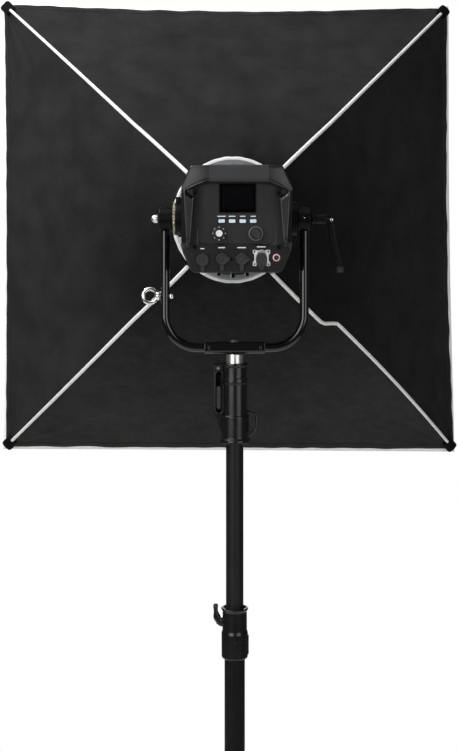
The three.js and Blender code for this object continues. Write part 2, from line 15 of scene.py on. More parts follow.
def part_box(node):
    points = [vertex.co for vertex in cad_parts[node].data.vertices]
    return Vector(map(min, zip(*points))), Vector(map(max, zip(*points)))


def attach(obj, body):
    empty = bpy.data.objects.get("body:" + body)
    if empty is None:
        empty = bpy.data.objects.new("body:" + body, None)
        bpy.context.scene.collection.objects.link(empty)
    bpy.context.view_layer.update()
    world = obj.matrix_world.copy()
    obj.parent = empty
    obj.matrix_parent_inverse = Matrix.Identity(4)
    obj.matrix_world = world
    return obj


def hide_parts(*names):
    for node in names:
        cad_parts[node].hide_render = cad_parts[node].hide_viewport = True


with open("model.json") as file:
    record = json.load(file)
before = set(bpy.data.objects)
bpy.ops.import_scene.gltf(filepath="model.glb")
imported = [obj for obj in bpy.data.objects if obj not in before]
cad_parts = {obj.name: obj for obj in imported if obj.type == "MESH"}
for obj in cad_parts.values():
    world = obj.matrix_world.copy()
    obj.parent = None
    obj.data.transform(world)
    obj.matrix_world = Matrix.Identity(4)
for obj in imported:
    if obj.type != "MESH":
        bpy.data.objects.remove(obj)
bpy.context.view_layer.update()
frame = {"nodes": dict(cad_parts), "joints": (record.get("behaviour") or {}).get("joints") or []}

TILT = Vector(next(j["pos_m"] for j in frame["joints"] if j["name"] == "lamp_tilt"))
MM = 0.001
HEAD = Matrix.Translation((0, 0, TILT.z)) @ Matrix.Scale(MM, 4)
FLOOR = Matrix.Scale(MM, 4)


def span(node, place=HEAD):
    """A CAD node's lowest and highest corners in millimetres, in the head's or the floor's frame."""
    back = place.inverted()
    return [back @ Vector(corner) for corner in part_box(node)]


# ---------------------------------------------------------------- camera, stage and lights

CAMERA_BACK = 2.12          # metres behind the column
CAMERA_LEFT = 0.0425
CAMERA_DROP = 0.057         # below the tilt axis
CAMERA_YAW = 0.883          # degrees to the right
LENS = 59.1
SHIFT_Y = -0.1644


def build_camera():
    """The photograph's camera: behind the lamp, level, with a vertical shift for the framing."""
    data = bpy.data.cameras.new("camera")
    data.lens = LENS
    data.sensor_width = 36
    data.shift_y = SHIFT_Y
    data.clip_end = 200
    camera = bpy.data.objects.new("camera", data)
    camera.location = (-CAMERA_LEFT, -CAMERA_BACK, TILT.z - CAMERA_DROP)
    camera.rotation_euler = (math.radians(90), 0, math.radians(-CAMERA_YAW))
    bpy.context.collection.objects.link(camera)
    bpy.context.scene.camera = camera


def area_light(name, place, aim, size, power):
    """A soft rectangle of light that points at a place."""
    data = bpy.data.lights.new(name, "AREA")
    data.shape = "RECTANGLE"
    data.size, data.size_y = size
    data.energy = power
    light = bpy.data.objects.new(name, data)
    light.location = place
    light.rotation_euler = (Vector(aim) - Vector(place)).to_track_quat("-Z", "Y").to_euler()
    bpy.context.collection.objects.link(light)


def build_stage():
    """White surroundings with a broad overhead light, four area lights and a pale round floor."""
    scene = bpy.context.scene
    scene.view_settings.view_transform = "Standard"
    world = bpy.data.worlds.new("studio")
    scene.world = world
    world.use_nodes = True
    tree = world.node_tree
    shown = tree.nodes["Background"]
    shown.inputs["Color"].default_value = (1, 1, 1, 1)
    shown.inputs["Strength"].default_value = 1.0
    fill = tree.nodes.new("ShaderNodeBackground")
    fill.inputs["Color"].default_value = (0.95, 0.97, 1, 1)
    fill.inputs["Strength"].default_value = 0.08
    path = tree.nodes.new("ShaderNodeLightPath")
    mix = tree.nodes.new("ShaderNodeMixShader")
    tree.links.new(path.outputs["Is Camera Ray"], mix.inputs["Fac"])
    tree.links.new(fill.outputs["Background"], mix.inputs[1])
    tree.links.new(shown.outputs["Background"], mix.inputs[2])
    tree.links.new(mix.outputs["Shader"], tree.nodes["World Output"].inputs["Surface"])

    sun = bpy.data.lights.new("overhead", "SUN")
    sun.energy = 0.9
    sun.angle = math.radians(60)
    overhead = bpy.data.objects.new("overhead", sun)
    overhead.rotation_euler = Vector((0.3, 0.2, -0.93)).to_track_quat("-Z", "Y").to_euler()
    bpy.context.collection.objects.link(overhead)

    height = TILT.z
    area_light("top_left", (-1.5, -0.1, height + 1.9), (0, 0.35, height), (1.4, 0.5), 62)
    area_light("wall_left", (-2.15, -3.4, height + 0.5), (0, 0, height - 0.1), (2.6, 2.5), 84)
    area_light("wall_right", (2.35, -3.2, height + 0.3), (0, 0, height - 0.1), (2.3, 2.5), 48)
    area_light("front_fill", (0.6, 5.5, height + 0.8), (0, 0.6, height - 0.2), (3, 3), 120)

    bpy.ops.mesh.primitive_circle_add(vertices=128, radius=2.5, fill_type="NGON")
    floor = bpy.context.object
    floor.name = "studio_floor"
    floor.data.materials.append(finish("pale_floor", (0.86, 0.84, 0.82), 0.9, mottle=0.01, mottle_size=900))


# ---------------------------------------------------------------- materials

def add(tree, kind, **values):
    """A new node, with its inputs set by name (spaces written as underscores)."""
    node = tree.nodes.new("ShaderNode" + kind)
    for name, value in values.items():
        node.inputs[name.replace("_", " ")].default_value = value
    return node


def noise_range(tree, where, size, low, high, detail=3.0):
    """A noise with features of that size in millimetres, mapped to run from low to high."""
    source = add(tree, "TexNoise", Scale=1000 / size, Detail=detail)
    spread = add(tree, "MapRange")
    spread.inputs["From Min"].default_value = 0.3
    spread.inputs["From Max"].default_value = 0.7
    spread.inputs["To Min"].default_value = low
    spread.inputs["To Max"].default_value = high
    tree.links.new(where, source.inputs["Vector"])
    tree.links.new(source.outputs["Fac"], spread.inputs["Value"])
    return spread.outputs["Result"]


def finish(name, color, roughness, metallic=0.0, slot=None, mottle=0.08, mottle_size=60, spread=0.07,
           grain=0.0, grain_size=0.9, specular=0.5, sheen=0.0):
    """A surface with mottled colour, uneven roughness and a fine raised grain."""
    material = bpy.data.materials.new(name)
    material.use_nodes = True
    material["slot"] = slot or ""
    tree = material.node_tree
    shader = tree.nodes["Principled BSDF"]
    shader.inputs["Metallic"].default_value = metallic
    shader.inputs["Specular IOR Level"].default_value = specular
    shader.inputs["Sheen Weight"].default_value = sheen
    shader.inputs["Sheen Roughness"].default_value = 0.45
    where = tree.nodes.new("ShaderNodeTexCoord").outputs["Object"]

    shade = add(tree, "Mix")
    shade.data_type = "RGBA"
    dark = [c * (1 - mottle) for c in color]
    light = [min(1.0, c * (1 + mottle)) for c in color]
    shade.inputs[6].default_value = (*dark, 1)
    shade.inputs[7].default_value = (*light, 1)
    tree.links.new(noise_range(tree, where, mottle_size, 0, 1), shade.inputs[0])
    tree.links.new(shade.outputs[2], shader.inputs["Base Color"])
    low, high = max(0.03, roughness - spread), min(1.0, roughness + spread)
    tree.links.new(noise_range(tree, where, mottle_size * 0.3, low, high), shader.inputs["Roughness"])
    if grain:
        bump = add(tree, "Bump", Strength=grain, Distance=0.0004)
        tree.links.new(noise_range(tree, where, grain_size, 0, 1, 1.0), bump.inputs["Height"])
        tree.links.new(bump.outputs["Normal"], shader.inputs["Normal"])
    return material


def woven(name, color, roughness, slot, thread, weave=0.35, sheen=0.1, mottle=0.15, specular=0.5):
    """Cloth: a finish whose grain is threads running across the object's own three directions."""
    material = finish(name, color, roughness, slot=slot, mottle=mottle, mottle_size=70, spread=0.08,
        specular=specular, sheen=sheen)
    tree = material.node_tree
    shader = tree.nodes["Principled BSDF"]
    where = tree.nodes.new("ShaderNodeTexCoord").outputs["Object"]
    heights = []
    for direction in "XYZ":
        wave = add(tree, "TexWave", Scale=math.pi * 100 / thread, Distortion=1.5, Detail=1.0)
        wave.bands_direction = direction
        tree.links.new(where, wave.inputs["Vector"])
        heights.append(wave.outputs["Fac"])
    total = add(tree, "Math")
    tree.links.new(heights[0], total.inputs[0])
    tree.links.new(heights[1], total.inputs[1])
    threads = add(tree, "Math")
    tree.links.new(total.outputs[0], threads.inputs[0])
    tree.links.new(heights[2], threads.inputs[1])
    slub = add(tree, "Math")
    tree.links.new(threads.outputs[0], slub.inputs[0])
    tree.links.new(noise_range(tree, where, 7, 0, 2.2), slub.inputs[1])
    bump = add(tree, "Bump", Strength=weave, Distance=0.0006)
    tree.links.new(slub.outputs[0], bump.inputs["Height"])
    tree.links.new(bump.outputs["Normal"], shader.inputs["Normal"])
    return material


def painted_shade(material, middle, along, near, far, near_shade, far_shade):
    """Paints shade into the colour: scales it by the distance in millimetres from a middle, counted along the
    given directions.
    """
    tree = material.node_tree
    shader = tree.nodes["Principled BSDF"]
    color = shader.inputs["Base Color"].links[0].from_socket
    where = tree.nodes.new("ShaderNodeTexCoord").outputs["Object"]
    flat = add(tree, "Mapping", Location=[-c * a for c, a in zip(middle, along)], Scale=along)
    tree.links.new(where, flat.inputs["Vector"])
    reach = add(tree, "VectorMath")
    reach.operation = "LENGTH"
    tree.links.new(flat.outputs["Vector"], reach.inputs[0])
    spread = add(tree, "MapRange")
    spread.interpolation_type = "SMOOTHSTEP"
    spread.inputs["From Min"].default_value = near * MM
    spread.inputs["From Max"].default_value = far * MM
    spread.inputs["To Min"].default_value = near_shade
    spread.inputs["To Max"].default_value = far_shade
    tree.links.new(reach.outputs["Value"], spread.inputs["Value"])
    scaled = add(tree, "VectorMath")
    scaled.operation = "SCALE"
    tree.links.new(color, scaled.inputs[0])
    tree.links.new(spread.outputs["Result"], scaled.inputs["Scale"])
    tree.links.new(scaled.outputs["Vector"], shader.inputs["Base Color"])
    return material


def build_finishes():
    """Every finish by name, with the record's slot that it belongs to."""
    return {
        # The shell's colour is scaled from 0.22 near a point 90 mm below the lamp's axis up to 1.1 far out:
        # painted shade where the lamp and yoke shadow the cloth round the ring, deepest below it.
        "shell": painted_shade(
            woven("black_nylon", (0.0182, 0.0180, 0.0180), 0.62, "shell_fabric", 1.1, weave=0.5,
                  sheen=0.0, mottle=0.22, specular=0.09),
            (0, 0, TILT.z - 0.09), (1, 0, 1), 60, 440, 0.22, 1.1),
        "liner": woven("silver_liner", (0.62, 0.63, 0.64), 0.42, "shell_fabric", 1.4, weave=0.3, mottle=0.06),
        "webbing": woven("black_webbing", (0.0024, 0.0024, 0.0022), 0.75, "shell_fabric", 2.0, weave=0.8,
                         sheen=0.0, specular=0.1),
        "piping": woven("white_piping", (0.83, 0.83, 0.82), 0.6, "rod", 1.6, weave=0.5, mottle=0.05),
        "thread": finish("black_thread", (0.02, 0.02, 0.02), 0.6, slot="shell_fabric", grain=0.2),
        "cloth": woven("diffuser_cloth", (0.86, 0.86, 0.85), 0.75, "diffuser_fabric", 0.9, weave=0.25,
                       sheen=0.2, mottle=0.012),
        "tape": woven("border_tape", (0.74, 0.74, 0.73), 0.7, "diffuser_fabric", 1.8, weave=0.6, mottle=0.04),
        "thread_pale": finish("pale_thread", (0.55, 0.55, 0.54), 0.6, slot="diffuser_fabric", grain=0.2),
        "rod": finish("glass_fibre_rod", (0.72, 0.72, 0.70), 0.4, slot="rod", grain=0.1, grain_size=2),
        # A lighter grey for the pillar ridge beads and shoulder lips: painted highlight along the cover's
        # edges.
        "edge": finish("painted_edge_highlight", (0.045, 0.045, 0.046), 0.4, slot="casing", mottle=0.3, mottle_size=12),
        # Near-black. On the cover screws it is partly the screws' own black and partly painted shade of their
        # holes; on the ring's notches it is painted shade; it also colours the clamps' guide bushes.
        "hole": finish("black_and_painted_hole_shade", (0.0012, 0.0012, 0.0012), 0.6, slot="casing", specular=0.1),
        "disc": finish("disc_paint", (0.0024, 0.0024, 0.0026), 0.36, slot="casting", grain=0.2,
                       specular=0.12),
        "casing": finish("casing_plastic", (0.0042, 0.0042, 0.0044), 0.31, slot="casing", grain=0.3,
                         grain_size=0.8, mottle=0.1, spread=0.04, specular=0.46),
        "plate": finish("badge_plate", (0.021, 0.021, 0.0235), 0.42, slot="casing", grain=0.25, mottle=0.05),
        # The panel's colour falls to half between 48 and 66 mm out from the middle: painted shade in the
        # recess beside the pillars.
        "panel": painted_shade(
            finish("panel_plastic", (0.0135, 0.0135, 0.0142), 0.55, slot="panel", grain=0.6,
                   grain_size=0.7, mottle=0.08, specular=0.3), (0, 0, 0), (1, 0, 0), 48, 66, 1.0, 0.5),
        "lower": finish("connector_plastic", (0.0052, 0.0052, 0.0052), 0.55, slot="panel", grain=0.4,
                        specular=0.24),
        "glass": finish("screen_glass", (0.0006, 0.0006, 0.0012), 0.04, slot="screen", spread=0.01,
                        specular=0.08),
        "bezel": finish("screen_bezel", (0.002, 0.002, 0.0025), 0.12, slot="screen", specular=0.2),
        "button": finish("button_cap", (0.72, 0.82, 0.92), 0.35, slot="button", mottle=0.03, grain=0.05),
        "legend": finish("printed_legend", (0.75, 0.76, 0.78), 0.5, slot="button", mottle=0.05),
        "knob": finish("knob_rubber", (0.008, 0.008, 0.0085), 0.45, slot="knob", grain=0.3),
        "knob_ring": finish("knob_ring_grey", (0.13, 0.13, 0.13), 0.35, slot="knob", grain=0.1),
        "rubber": finish("rubber_cap", (0.013, 0.013, 0.014), 0.68, slot="rubber", grain=0.5, grain_size=1.4),
        "foot": finish("foot_rubber", (0.012, 0.012, 0.0125), 0.8, slot="rubber", grain=0.8, grain_size=1.6),
        "latch": finish("latch_plastic", (0.022, 0.022, 0.023), 0.5, slot="stand_paint", grain=0.4),
        "red": finish("fuse_red", (0.42, 0.05, 0.04), 0.4, slot="knob", mottle=0.05),
        "chrome": finish("bright_chrome", (0.80, 0.79, 0.77), 0.13, 1.0, "chrome", mottle=0.04, spread=0.05),
        "steel": finish("zinc_steel", (0.55, 0.55, 0.54), 0.3, 1.0, "chrome", mottle=0.08, grain=0.1),
        "bronze": finish("passivated_disc", (0.40, 0.37, 0.28), 0.42, 1.0, "bronze", mottle=0.3,
                         mottle_size=9, grain=0.3),
        "ring": finish("machined_aluminium", (0.33, 0.34, 0.35), 0.34, 1.0, "aluminium", mottle=0.05,
                       spread=0.03, grain=0.04, mottle_size=40),
        "satin": finish("satin_nickel", (0.78, 0.76, 0.73), 0.34, 1.0, "chrome", mottle=0.04, spread=0.04),
        "inlet": finish("cast_zinc", (0.66, 0.66, 0.65), 0.36, 1.0, "aluminium", mottle=0.08, grain=0.2),
        "tube": finish("stand_paint", (0.0065, 0.0065, 0.0065), 0.42, slot="stand_paint", grain=0.35,
                       grain_size=1.6, mottle=0.18, mottle_size=25, specular=0.25),
        "tube_dark": finish("stand_paint_dark", (0.0035, 0.0035, 0.0035), 0.5, slot="stand_paint", grain=0.35,
                            grain_size=1.6, mottle=0.18, mottle_size=25, specular=0.14),
        "casting": finish("cast_paint", (0.0040, 0.0040, 0.0043), 0.26, slot="casting", grain=0.06,
                          grain_size=1.8, mottle=0.1, mottle_size=60, spread=0.025, specular=0.45),
        "gloss": finish("gloss_paint", (0.003, 0.003, 0.0034), 0.1, slot="gloss_black", mottle=0.15,
                        spread=0.03, specular=0.5),
        "led": finish("phosphor", (0.85, 0.72, 0.28), 0.5, slot="led", grain=0.2),
        "fan": finish("fan_plastic", (0.012, 0.012, 0.012), 0.45, slot="knob", grain=0.1),
    }


# ---------------------------------------------------------------- mesh tools

def raw_mesh(vertices, faces):
    """A mesh from points and faces, as they are given."""
    mesh = bpy.data.meshes.new("mesh")
    mesh.from_pydata([tuple(v) for v in vertices], [], faces)
    return mesh


@contextmanager
def edited(mesh):
    """The mesh as a bmesh, written back when the block ends."""
    work = bmesh.new()
    work.from_mesh(mesh)
    yield work
    work.to_mesh(mesh)
    work.free()


def new_mesh(vertices, faces, weld=1e-4):
    """A mesh with its doubled points welded and its faces turned outwards."""
    return welded(raw_mesh(vertices, faces), weld)


def welded(mesh, weld):
    """The mesh itself, with its doubled points welded and its faces turned outwards."""
    with edited(mesh) as work:
        bmesh.ops.remove_doubles(work, verts=work.verts, dist=weld)
        bmesh.ops.recalc_face_normals(work, faces=work.faces)
    return mesh


def skin(rows, closed=True, ends=False):
    """Vertices and faces of a skin over rows of points. closed joins each row's last point to its first."""
    width = len(rows[0])
    vertices = [point for row in rows for point in row]
    faces = []
    for low in range(0, (len(rows) - 1) * width, width):
        for i in range(width if closed else width - 1):
            n = (i + 1) % width
            faces.append((low + i, low + n, low + width + n, low + width + i))
    if ends:
        last = (len(rows) - 1) * width
        faces += [tuple(range(width)), tuple(range(last, last + width))]
    return vertices, faces


def loft(rows):
    """A skin over closed loops of points, closed off at both ends."""
    return new_mesh(*skin(rows, ends=True))


def joined(*meshes):
    """One mesh that holds the given ones."""
    result = bpy.data.meshes.new("mesh")
    with edited(result) as work:
        for mesh in meshes:
            work.from_mesh(mesh)
    return result


def moved(mesh, matrix):
    """A copy of a mesh, moved by a matrix."""
    result = mesh.copy()
    result.transform(matrix)
    return result


def at(mesh, x, y, z):
    """A copy of a mesh, shifted."""
    return moved(mesh, Matrix.Translation((x, y, z)))


def ring_of_copies(mesh, count, axis, start=0.0):
    """Copies of a mesh turned evenly about one of the frame's axes."""
    turns = [Matrix.Rotation(start + 2 * math.pi * i / count, 4, axis) for i in range(count)]
    return joined(*[moved(mesh, turn) for turn in turns])


def softened(points, radius, closed=True, steps=4):
    """The same outline with its corners rounded to at most that radius."""
    count = len(points)
    result = []
    for i, point in enumerate(points):
        here = Vector(point)
        if not closed and i in (0, count - 1):
            result.append(here)
            continue
        before, after = Vector(points[i - 1]), Vector(points[(i + 1) % count])
        cut_in = min(radius, (here - before).length * 0.45)
        cut_out = min(radius, (after - here).length * 0.45)
        start = here + (before - here).normalized() * cut_in
        end = here + (after - here).normalized() * cut_out
        for step in range(steps + 1):
            t = step / steps
            result.append(start * (1 - t) ** 2 + here * (2 * t * (1 - t)) + end * t ** 2)
    return result


def turned(profile, sides=56, soft=0.8, toward="Z", ripple=None):
    """A solid of revolution about an axis, from (radius, height) points that are rounded at their corners.

    The profile is open if it starts and ends on the axis. ripple gives a share to add to the radius.
    """
    on_axis = profile[0][0] == 0 and profile[-1][0] == 0
    points = softened(profile, soft, closed=not on_axis, steps=3) if soft else [Vector(p) for p in profile]
    rows = []
    for i in range(sides):
        turn = 2 * math.pi * i / sides
        row = []
        for radius, height in points:
            wide = radius * (1 + ripple(turn, radius, height)) if ripple else radius
            row.append((wide * math.cos(turn), wide * math.sin(turn), height))
        rows.append(row)
    mesh = new_mesh(*skin(rows + rows[:1], closed=not on_axis))
    with edited(mesh) as work:
        bmesh.ops.dissolve_degenerate(work, dist=1e-5, edges=work.edges)
    if toward == "X":
        mesh.transform(Matrix.Rotation(math.pi / 2, 4, "Y"))
    if toward == "Y":
        mesh.transform(Matrix.Rotation(-math.pi / 2, 4, "X"))
    return mesh


def pipe(points, radius, sides=14, closed=False):
    """A tube along a line of points. radius may be a function of the share along."""
    points = [Vector(p) for p in points]
    count = len(points)
    rows = []
    normal = None
    for i, point in enumerate(points):
        before = points[i - 1] if closed or i else point
        after = points[(i + 1) % count] if closed or i < count - 1 else point
        along = (after - before).normalized()
        if normal is None:
            normal = along.orthogonal().normalized()
            if abs(along.z) < 0.9:
                normal = along.cross(Vector((0, 0, 1))).normalized()
        normal = (normal - along * normal.dot(along)).normalized()
        side = along.cross(normal)
        wide = radius(i / (count - 1)) if callable(radius) else radius
        turns = [2 * math.pi * k / sides for k in range(sides)]
        rows.append([point + normal * math.cos(t) * wide + side * math.sin(t) * wide for t in turns])
    if closed:
        rows.append(rows[0])
    return new_mesh(*skin(rows, ends=not closed))


def block(low, high, bevel=0.8, segments=3):
    """A box with rounded edges."""
    mesh = bpy.data.meshes.new("mesh")
    low, high = Vector(low), Vector(high)
    with edited(mesh) as work:
        bmesh.ops.create_cube(work, size=1)
        bmesh.ops.scale(work, vec=high - low, verts=work.verts)
        bmesh.ops.translate(work, vec=(high + low) / 2, verts=work.verts)
        bmesh.ops.bevel(work, geom=work.edges, offset=bevel, segments=segments, profile=0.5, affect="EDGES")
    return mesh


def plate(outer, holes, from_y, to_y, bevel=0.6):
    """A flat plate in the X-Z plane with rounded edges and through holes, from one Y to another."""
    curve = bpy.data.curves.new("plate", "CURVE")
    curve.dimensions = "2D"
    curve.fill_mode = "BOTH"
    for outline in (outer, *holes):
        spline = curve.splines.new("POLY")
        spline.points.add(len(outline) - 1)
        for point, (x, z) in zip(spline.points, outline):
            point.co = (x, z, 0, 1)
        spline.use_cyclic_u = True
    curve.extrude = (to_y - from_y) / 2 - bevel
    curve.bevel_depth = bevel
    curve.bevel_resolution = 2
    curve.offset = -bevel
    shape = bpy.data.objects.new("plate", curve)
    bpy.context.collection.objects.link(shape)
    graph = bpy.context.evaluated_depsgraph_get()
    mesh = welded(bpy.data.meshes.new_from_object(shape.evaluated_get(graph)), 1e-3)
    bpy.data.objects.remove(shape)
    mesh.transform(Matrix.Translation((0, (from_y + to_y) / 2, 0)) @ Matrix.Rotation(math.pi / 2, 4, "X"))
    return mesh


def rectangle(x, z, width, height, radius):
    """A rounded rectangle round x and z, as an outline."""
    corners = [(x - width / 2, z - height / 2), (x + width / 2, z - height / 2),
        (x + width / 2, z + height / 2), (x - width / 2, z + height / 2)]
    return softened(corners, radius * 1.2, steps=5)


def circle(x, z, radius, sides=40):
    """A circle round x and z, as an outline."""
    turns = [2 * math.pi * i / sides for i in range(sides)]
    return [Vector((x + radius * math.cos(t), z + radius * math.sin(t))) for t in turns]


def show(name, mesh, look, body="lamp", place=HEAD, replaces=(), angle=32):
    """Places a mesh as a piece that rides on a CAD body. Hard parts keep their broad faces flat."""
    obj = bpy.data.objects.new(name, mesh)
    bpy.context.collection.objects.link(obj)
    surface = FINISHES[look]
    mesh.name = name
    mesh.transform(place)
    mesh.materials.clear()
    mesh.materials.append(surface)
    mesh.shade_smooth()
    mesh.set_sharp_from_angle(angle=math.radians(angle))
    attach(obj, body)
    if replaces:
        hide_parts(*replaces)
    if angle <= 50:
        even = obj.modifiers.new("even normals", "WEIGHTED_NORMAL")
        even.keep_sharp = True
    return obj


def show_cloth(name, mesh, look, thickness, offset=0.0, **how):
    """Places a sheet that has no thickness of its own yet."""
    obj = show(name, mesh, look, **how)
    thick = obj.modifiers.new("cloth thickness", "SOLIDIFY")
    thick.thickness = thickness
    thick.offset = offset
    return obj


# ---------------------------------------------------------------- softbox

RING_FACE = span("speed_ring")[1].y
REAR_RADIUS = 113.0                 # the round rear opening of the fabric
REAR_Y = RING_FACE
FRONT_Y = span("front_diffuser")[0].y - 1
FRONT_HALF = span("panel_top")[1].z
SLOPE = math.atan2(FRONT_HALF - REAR_RADIUS * 0.8, FRONT_Y - REAR_Y)
ROD_BOW = 9.0                       # how far the bent rods push the corner seams out
SAG = 13.0                          # how far the cloth falls in between them
HEM = 18.0
HEM_LENGTH = 640.0                  # the cloth's length from ring to front edge, which places the hem
CREASE_LENGTH = 660.0               # the length over which the creases are laid out
CLOTH_TUCK = 5.5                    # how far the front cloth reaches past the shell's front edge
STITCH_RADIUS = 0.45
CORNERS = ("top_left", "top_right", "bottom_right", "bottom_left")
# How far each front corner is pulled out of square, right and up, in the order of CORNERS.
CORNER_PULL = [(-6, 1), (-7, -5), (6.5, -4), (-2, 5)]
EDGE_BOW = [11, 4.8, 1.0, 3.6]      # how far the top, right, bottom and left edges are drawn in at the middle
RING_LIFT = 2.8                     # how far the cloth's round opening sits above the lamp's axis
OVAL = 0.962                        # the round opening is drawn in sideways by this much
REAR_OPENING = Matrix.Translation((0, 0, RING_LIFT)) @ Matrix.Scale(OVAL, 4, (1, 0, 0))
PANELS = 4
ACROSS = 92                         # faces across one panel
ALONG = 84                          # faces from the rear ring to the front edge


def corner_turn(side, x, z):
    """Turns a point of the top panel round to another panel: 1 right, 2 bottom, 3 left."""
    for _ in range(side % PANELS):
        x, z = z, -x
    return x, z


def seam_slip(v):
    """How far the lower right seam is pushed up and to the right at a share of the way to the front."""
    step = min(1.0, max(0.0, (v - 0.235) / 0.045))
    step = step * step * (3 - 2 * step)
    before = -11.5 + 0.8 * min(1.0, v / 0.235)
    after = 2.0 + 5.0 * math.sin(math.pi * (0.1 + 0.9 * max(0.0, v - 0.235) / 0.765))
    return before * (1 - step) + after * step


def pull_at(around):
    """The out-of-square pull of the front edge at a place round it, between its two corners."""
    side = int(around) % PANELS
    share = around - int(around)
    (x0, z0), (x1, z1) = CORNER_PULL[side], CORNER_PULL[(side + 1) % PANELS]
    return x0 + (x1 - x0) * share, z0 + (z1 - z0) * share


def creases(around, v):
    """The cloth's small folds, as a height out of the surface."""
    side = int(around) % PANELS
    u = 2 * (around - int(around)) - 1
    x = u * (REAR_RADIUS + (FRONT_HALF - REAR_RADIUS) * v)
    depth = v * CREASE_LENGTH
    height = 0.0
    for sign in (-1, 1):
        away = Vector((x - sign * FRONT_HALF, depth - CREASE_LENGTH))
        reach = away.length
        bearing = math.atan2(-away.y, -sign * away.x)
        fan = math.sin(bearing * 17 + side * 1.7 + 0.9 * math.sin(reach / 90))
        fan += 0.6 * math.sin(bearing * 31 + side + sign)
        height += 2.1 * fan * math.exp(-reach / 150) * min(1.0, reach / 25)
    lip = math.exp(-depth / 38) * min(1.0, depth / 8)
    height += 1.1 * lip * math.sin(around * math.pi * 2 * 5.5 + 1.3 * math.sin(around * 9))
    near_edge = math.exp(-(CREASE_LENGTH - depth) / 45)
    ripple = noise.noise(Vector((x / 42, depth / 210, side * 7.3)))
    height += (0.5 * near_edge + 0.8) * ripple * 2
    broad = noise.noise(Vector((x / 230, depth / 260, side * 3.1 + 11)))
    long_fold = noise.noise(Vector(((x + depth * 0.6) / 60, (depth - x * 0.4) / 420, side * 5.7)))
    fade = min(1.0, depth / 40) * min(1.0, (CREASE_LENGTH - depth) / 30 + 0.15) * (1 - abs(u) ** 8)
    return height * (1 - abs(u) ** 12) + (3.6 * broad + 1.6 * long_fold) * fade


def shell_point(around, v, proud=0.0):
    """A point of the fabric shell. around runs clockwise from 0 to 4, with a seam at each whole number."""
    side = int(around) % PANELS
    u = 2 * (around - int(around)) - 1
    turn = math.radians(45 * u)
    rear = Vector((REAR_RADIUS * math.sin(turn), REAR_Y, REAR_RADIUS * math.cos(turn)))
    front = Vector((u * FRONT_HALF, FRONT_Y, FRONT_HALF))
    point = rear.lerp(front, v)
    bow = 4 * v * (1 - v)
    out = ROD_BOW * bow * u * u - SAG * bow * (1 - u * u) + creases(around, v) + proud
    point.z += out * math.cos(SLOPE)
    point.y -= out * math.sin(SLOPE)
    point.x += out * math.cos(SLOPE) * (1 if u > 0 else -1) * abs(u) ** 6
    point.z -= EDGE_BOW[side] * (1 - u * u) ** 1.4 * v ** 3
    point.x, point.z = corner_turn(side, point.x, point.z)
    point.x *= OVAL + (1 - OVAL) * min(1.0, v * 4)
    if side in (1, 2) and (u > 0) == (side == 1):
        slip = seam_slip(v) * (max(0.0, abs(u) - 0.55) / 0.45) ** 2
        point.x += slip
        point.z += slip
    point.z += RING_LIFT * (1 - v)
    pull = pull_at(around)
    point.x += pull[0] * v * v
    point.z += pull[1] * v * v
    return point


def seam_line(corner, proud, start=0.0, end=1.0, steps=64):
    """Points along one corner seam, from the ring to the front."""
    shares = [start + (end - start) * i / steps for i in range(steps + 1)]
    return [shell_point(corner + 0.0, v, proud) for v in shares]


def rear_first(mesh):
    """The offset that makes a sheet's rear face stay where it is when it is given a thickness."""
    return -1 if mesh.polygons[0].normal.y < 0 else 1


def build_shell():
    """The fabric shell: one sheet with a silver lining."""
    columns = ACROSS * PANELS
    rows = [[shell_point(PANELS * column / columns, row / ALONG) for column in range(columns)]
        for row in range(ALONG + 1)]
    mesh = raw_mesh(*skin(rows))
    shell = show_cloth("softbox_shell", mesh, "shell", 0.0012, rear_first(mesh), angle=70,
        replaces=("panel_top", "panel_right", "panel_bottom", "panel_left"))
    mesh.materials.append(FINISHES["liner"])
    shell.modifiers["cloth thickness"].material_offset = 1
    return shell


def build_piping():
    """White piping over the four corner seams, sewn down along both sides."""
    pieces = []
    for corner in range(PANELS):
        line = seam_line(corner, 2.2, 0.012, 0.95)
        pieces.append(pipe(line, lambda t: 3.8 - 0.6 * t, sides=12))
    return show("seam_piping", joined(*pieces), "piping", angle=80)


def build_rods():
    """The four bent rods inside the corner seams. A rod is stiffer than the cloth, so it bends evenly."""
    for corner, name in enumerate(CORNERS):
        line = seam_line(corner, -13.0 if name == "bottom_right" else -6.5, 0.03, 0.985)
        if name == "bottom_right":
            reach = 16
            line = [sum((line[min(max(0, i + k), len(line) - 1)] for k in range(-reach, reach + 1)),
                Vector()) / (2 * reach + 1) for i in range(len(line))]
        show("bent_rod_" + name, pipe(line, 3.0, sides=14), "rod", replaces=("rod_" + name,), angle=80)


def build_shell_trim():
    """The white binding round the rear opening, and the stitched hem along the front edge."""
    turns = [2 * math.pi * k / 16 for k in range(16)]
    section = [(REAR_RADIUS + 1.2 + 3.6 * math.cos(t), REAR_Y - 0.6 + 2.0 * math.sin(t)) for t in turns]
    binding = turned(section, sides=128, soft=0, toward="Y", ripple=lambda turn, radius,
        height: 0.0035 * math.sin(turn * 29) * math.sin(turn * 3))
    show("ring_binding", moved(binding, REAR_OPENING), "piping", angle=80)

    across = 400
    band = [(HEM, 0.2), (HEM - 1.5, 0.9), (2.5, 1.0), (0, 0.4)]
    rows = [[shell_point(PANELS * i / across, 1 - back / HEM_LENGTH, proud) for i in range(across)]
        for back, proud in band]
    mesh = raw_mesh(*skin(rows))
    show_cloth("front_hem", mesh, "shell", 0.001, rear_first(mesh), angle=60)

    stitches, count = [], 760
    for back in (HEM - 4, 6):
        for i in range(count):
            around = PANELS * (i + 0.5) / count
            if abs(around - round(around)) >= 0.03:
                ends = [shell_point(around + PANELS * step / count, 1 - back / HEM_LENGTH, 1.2)
                    for step in (0, 0.3)]
                stitches.append(pipe(ends, STITCH_RADIUS, sides=5))
    show("hem_stitching", joined(*stitches), "thread")


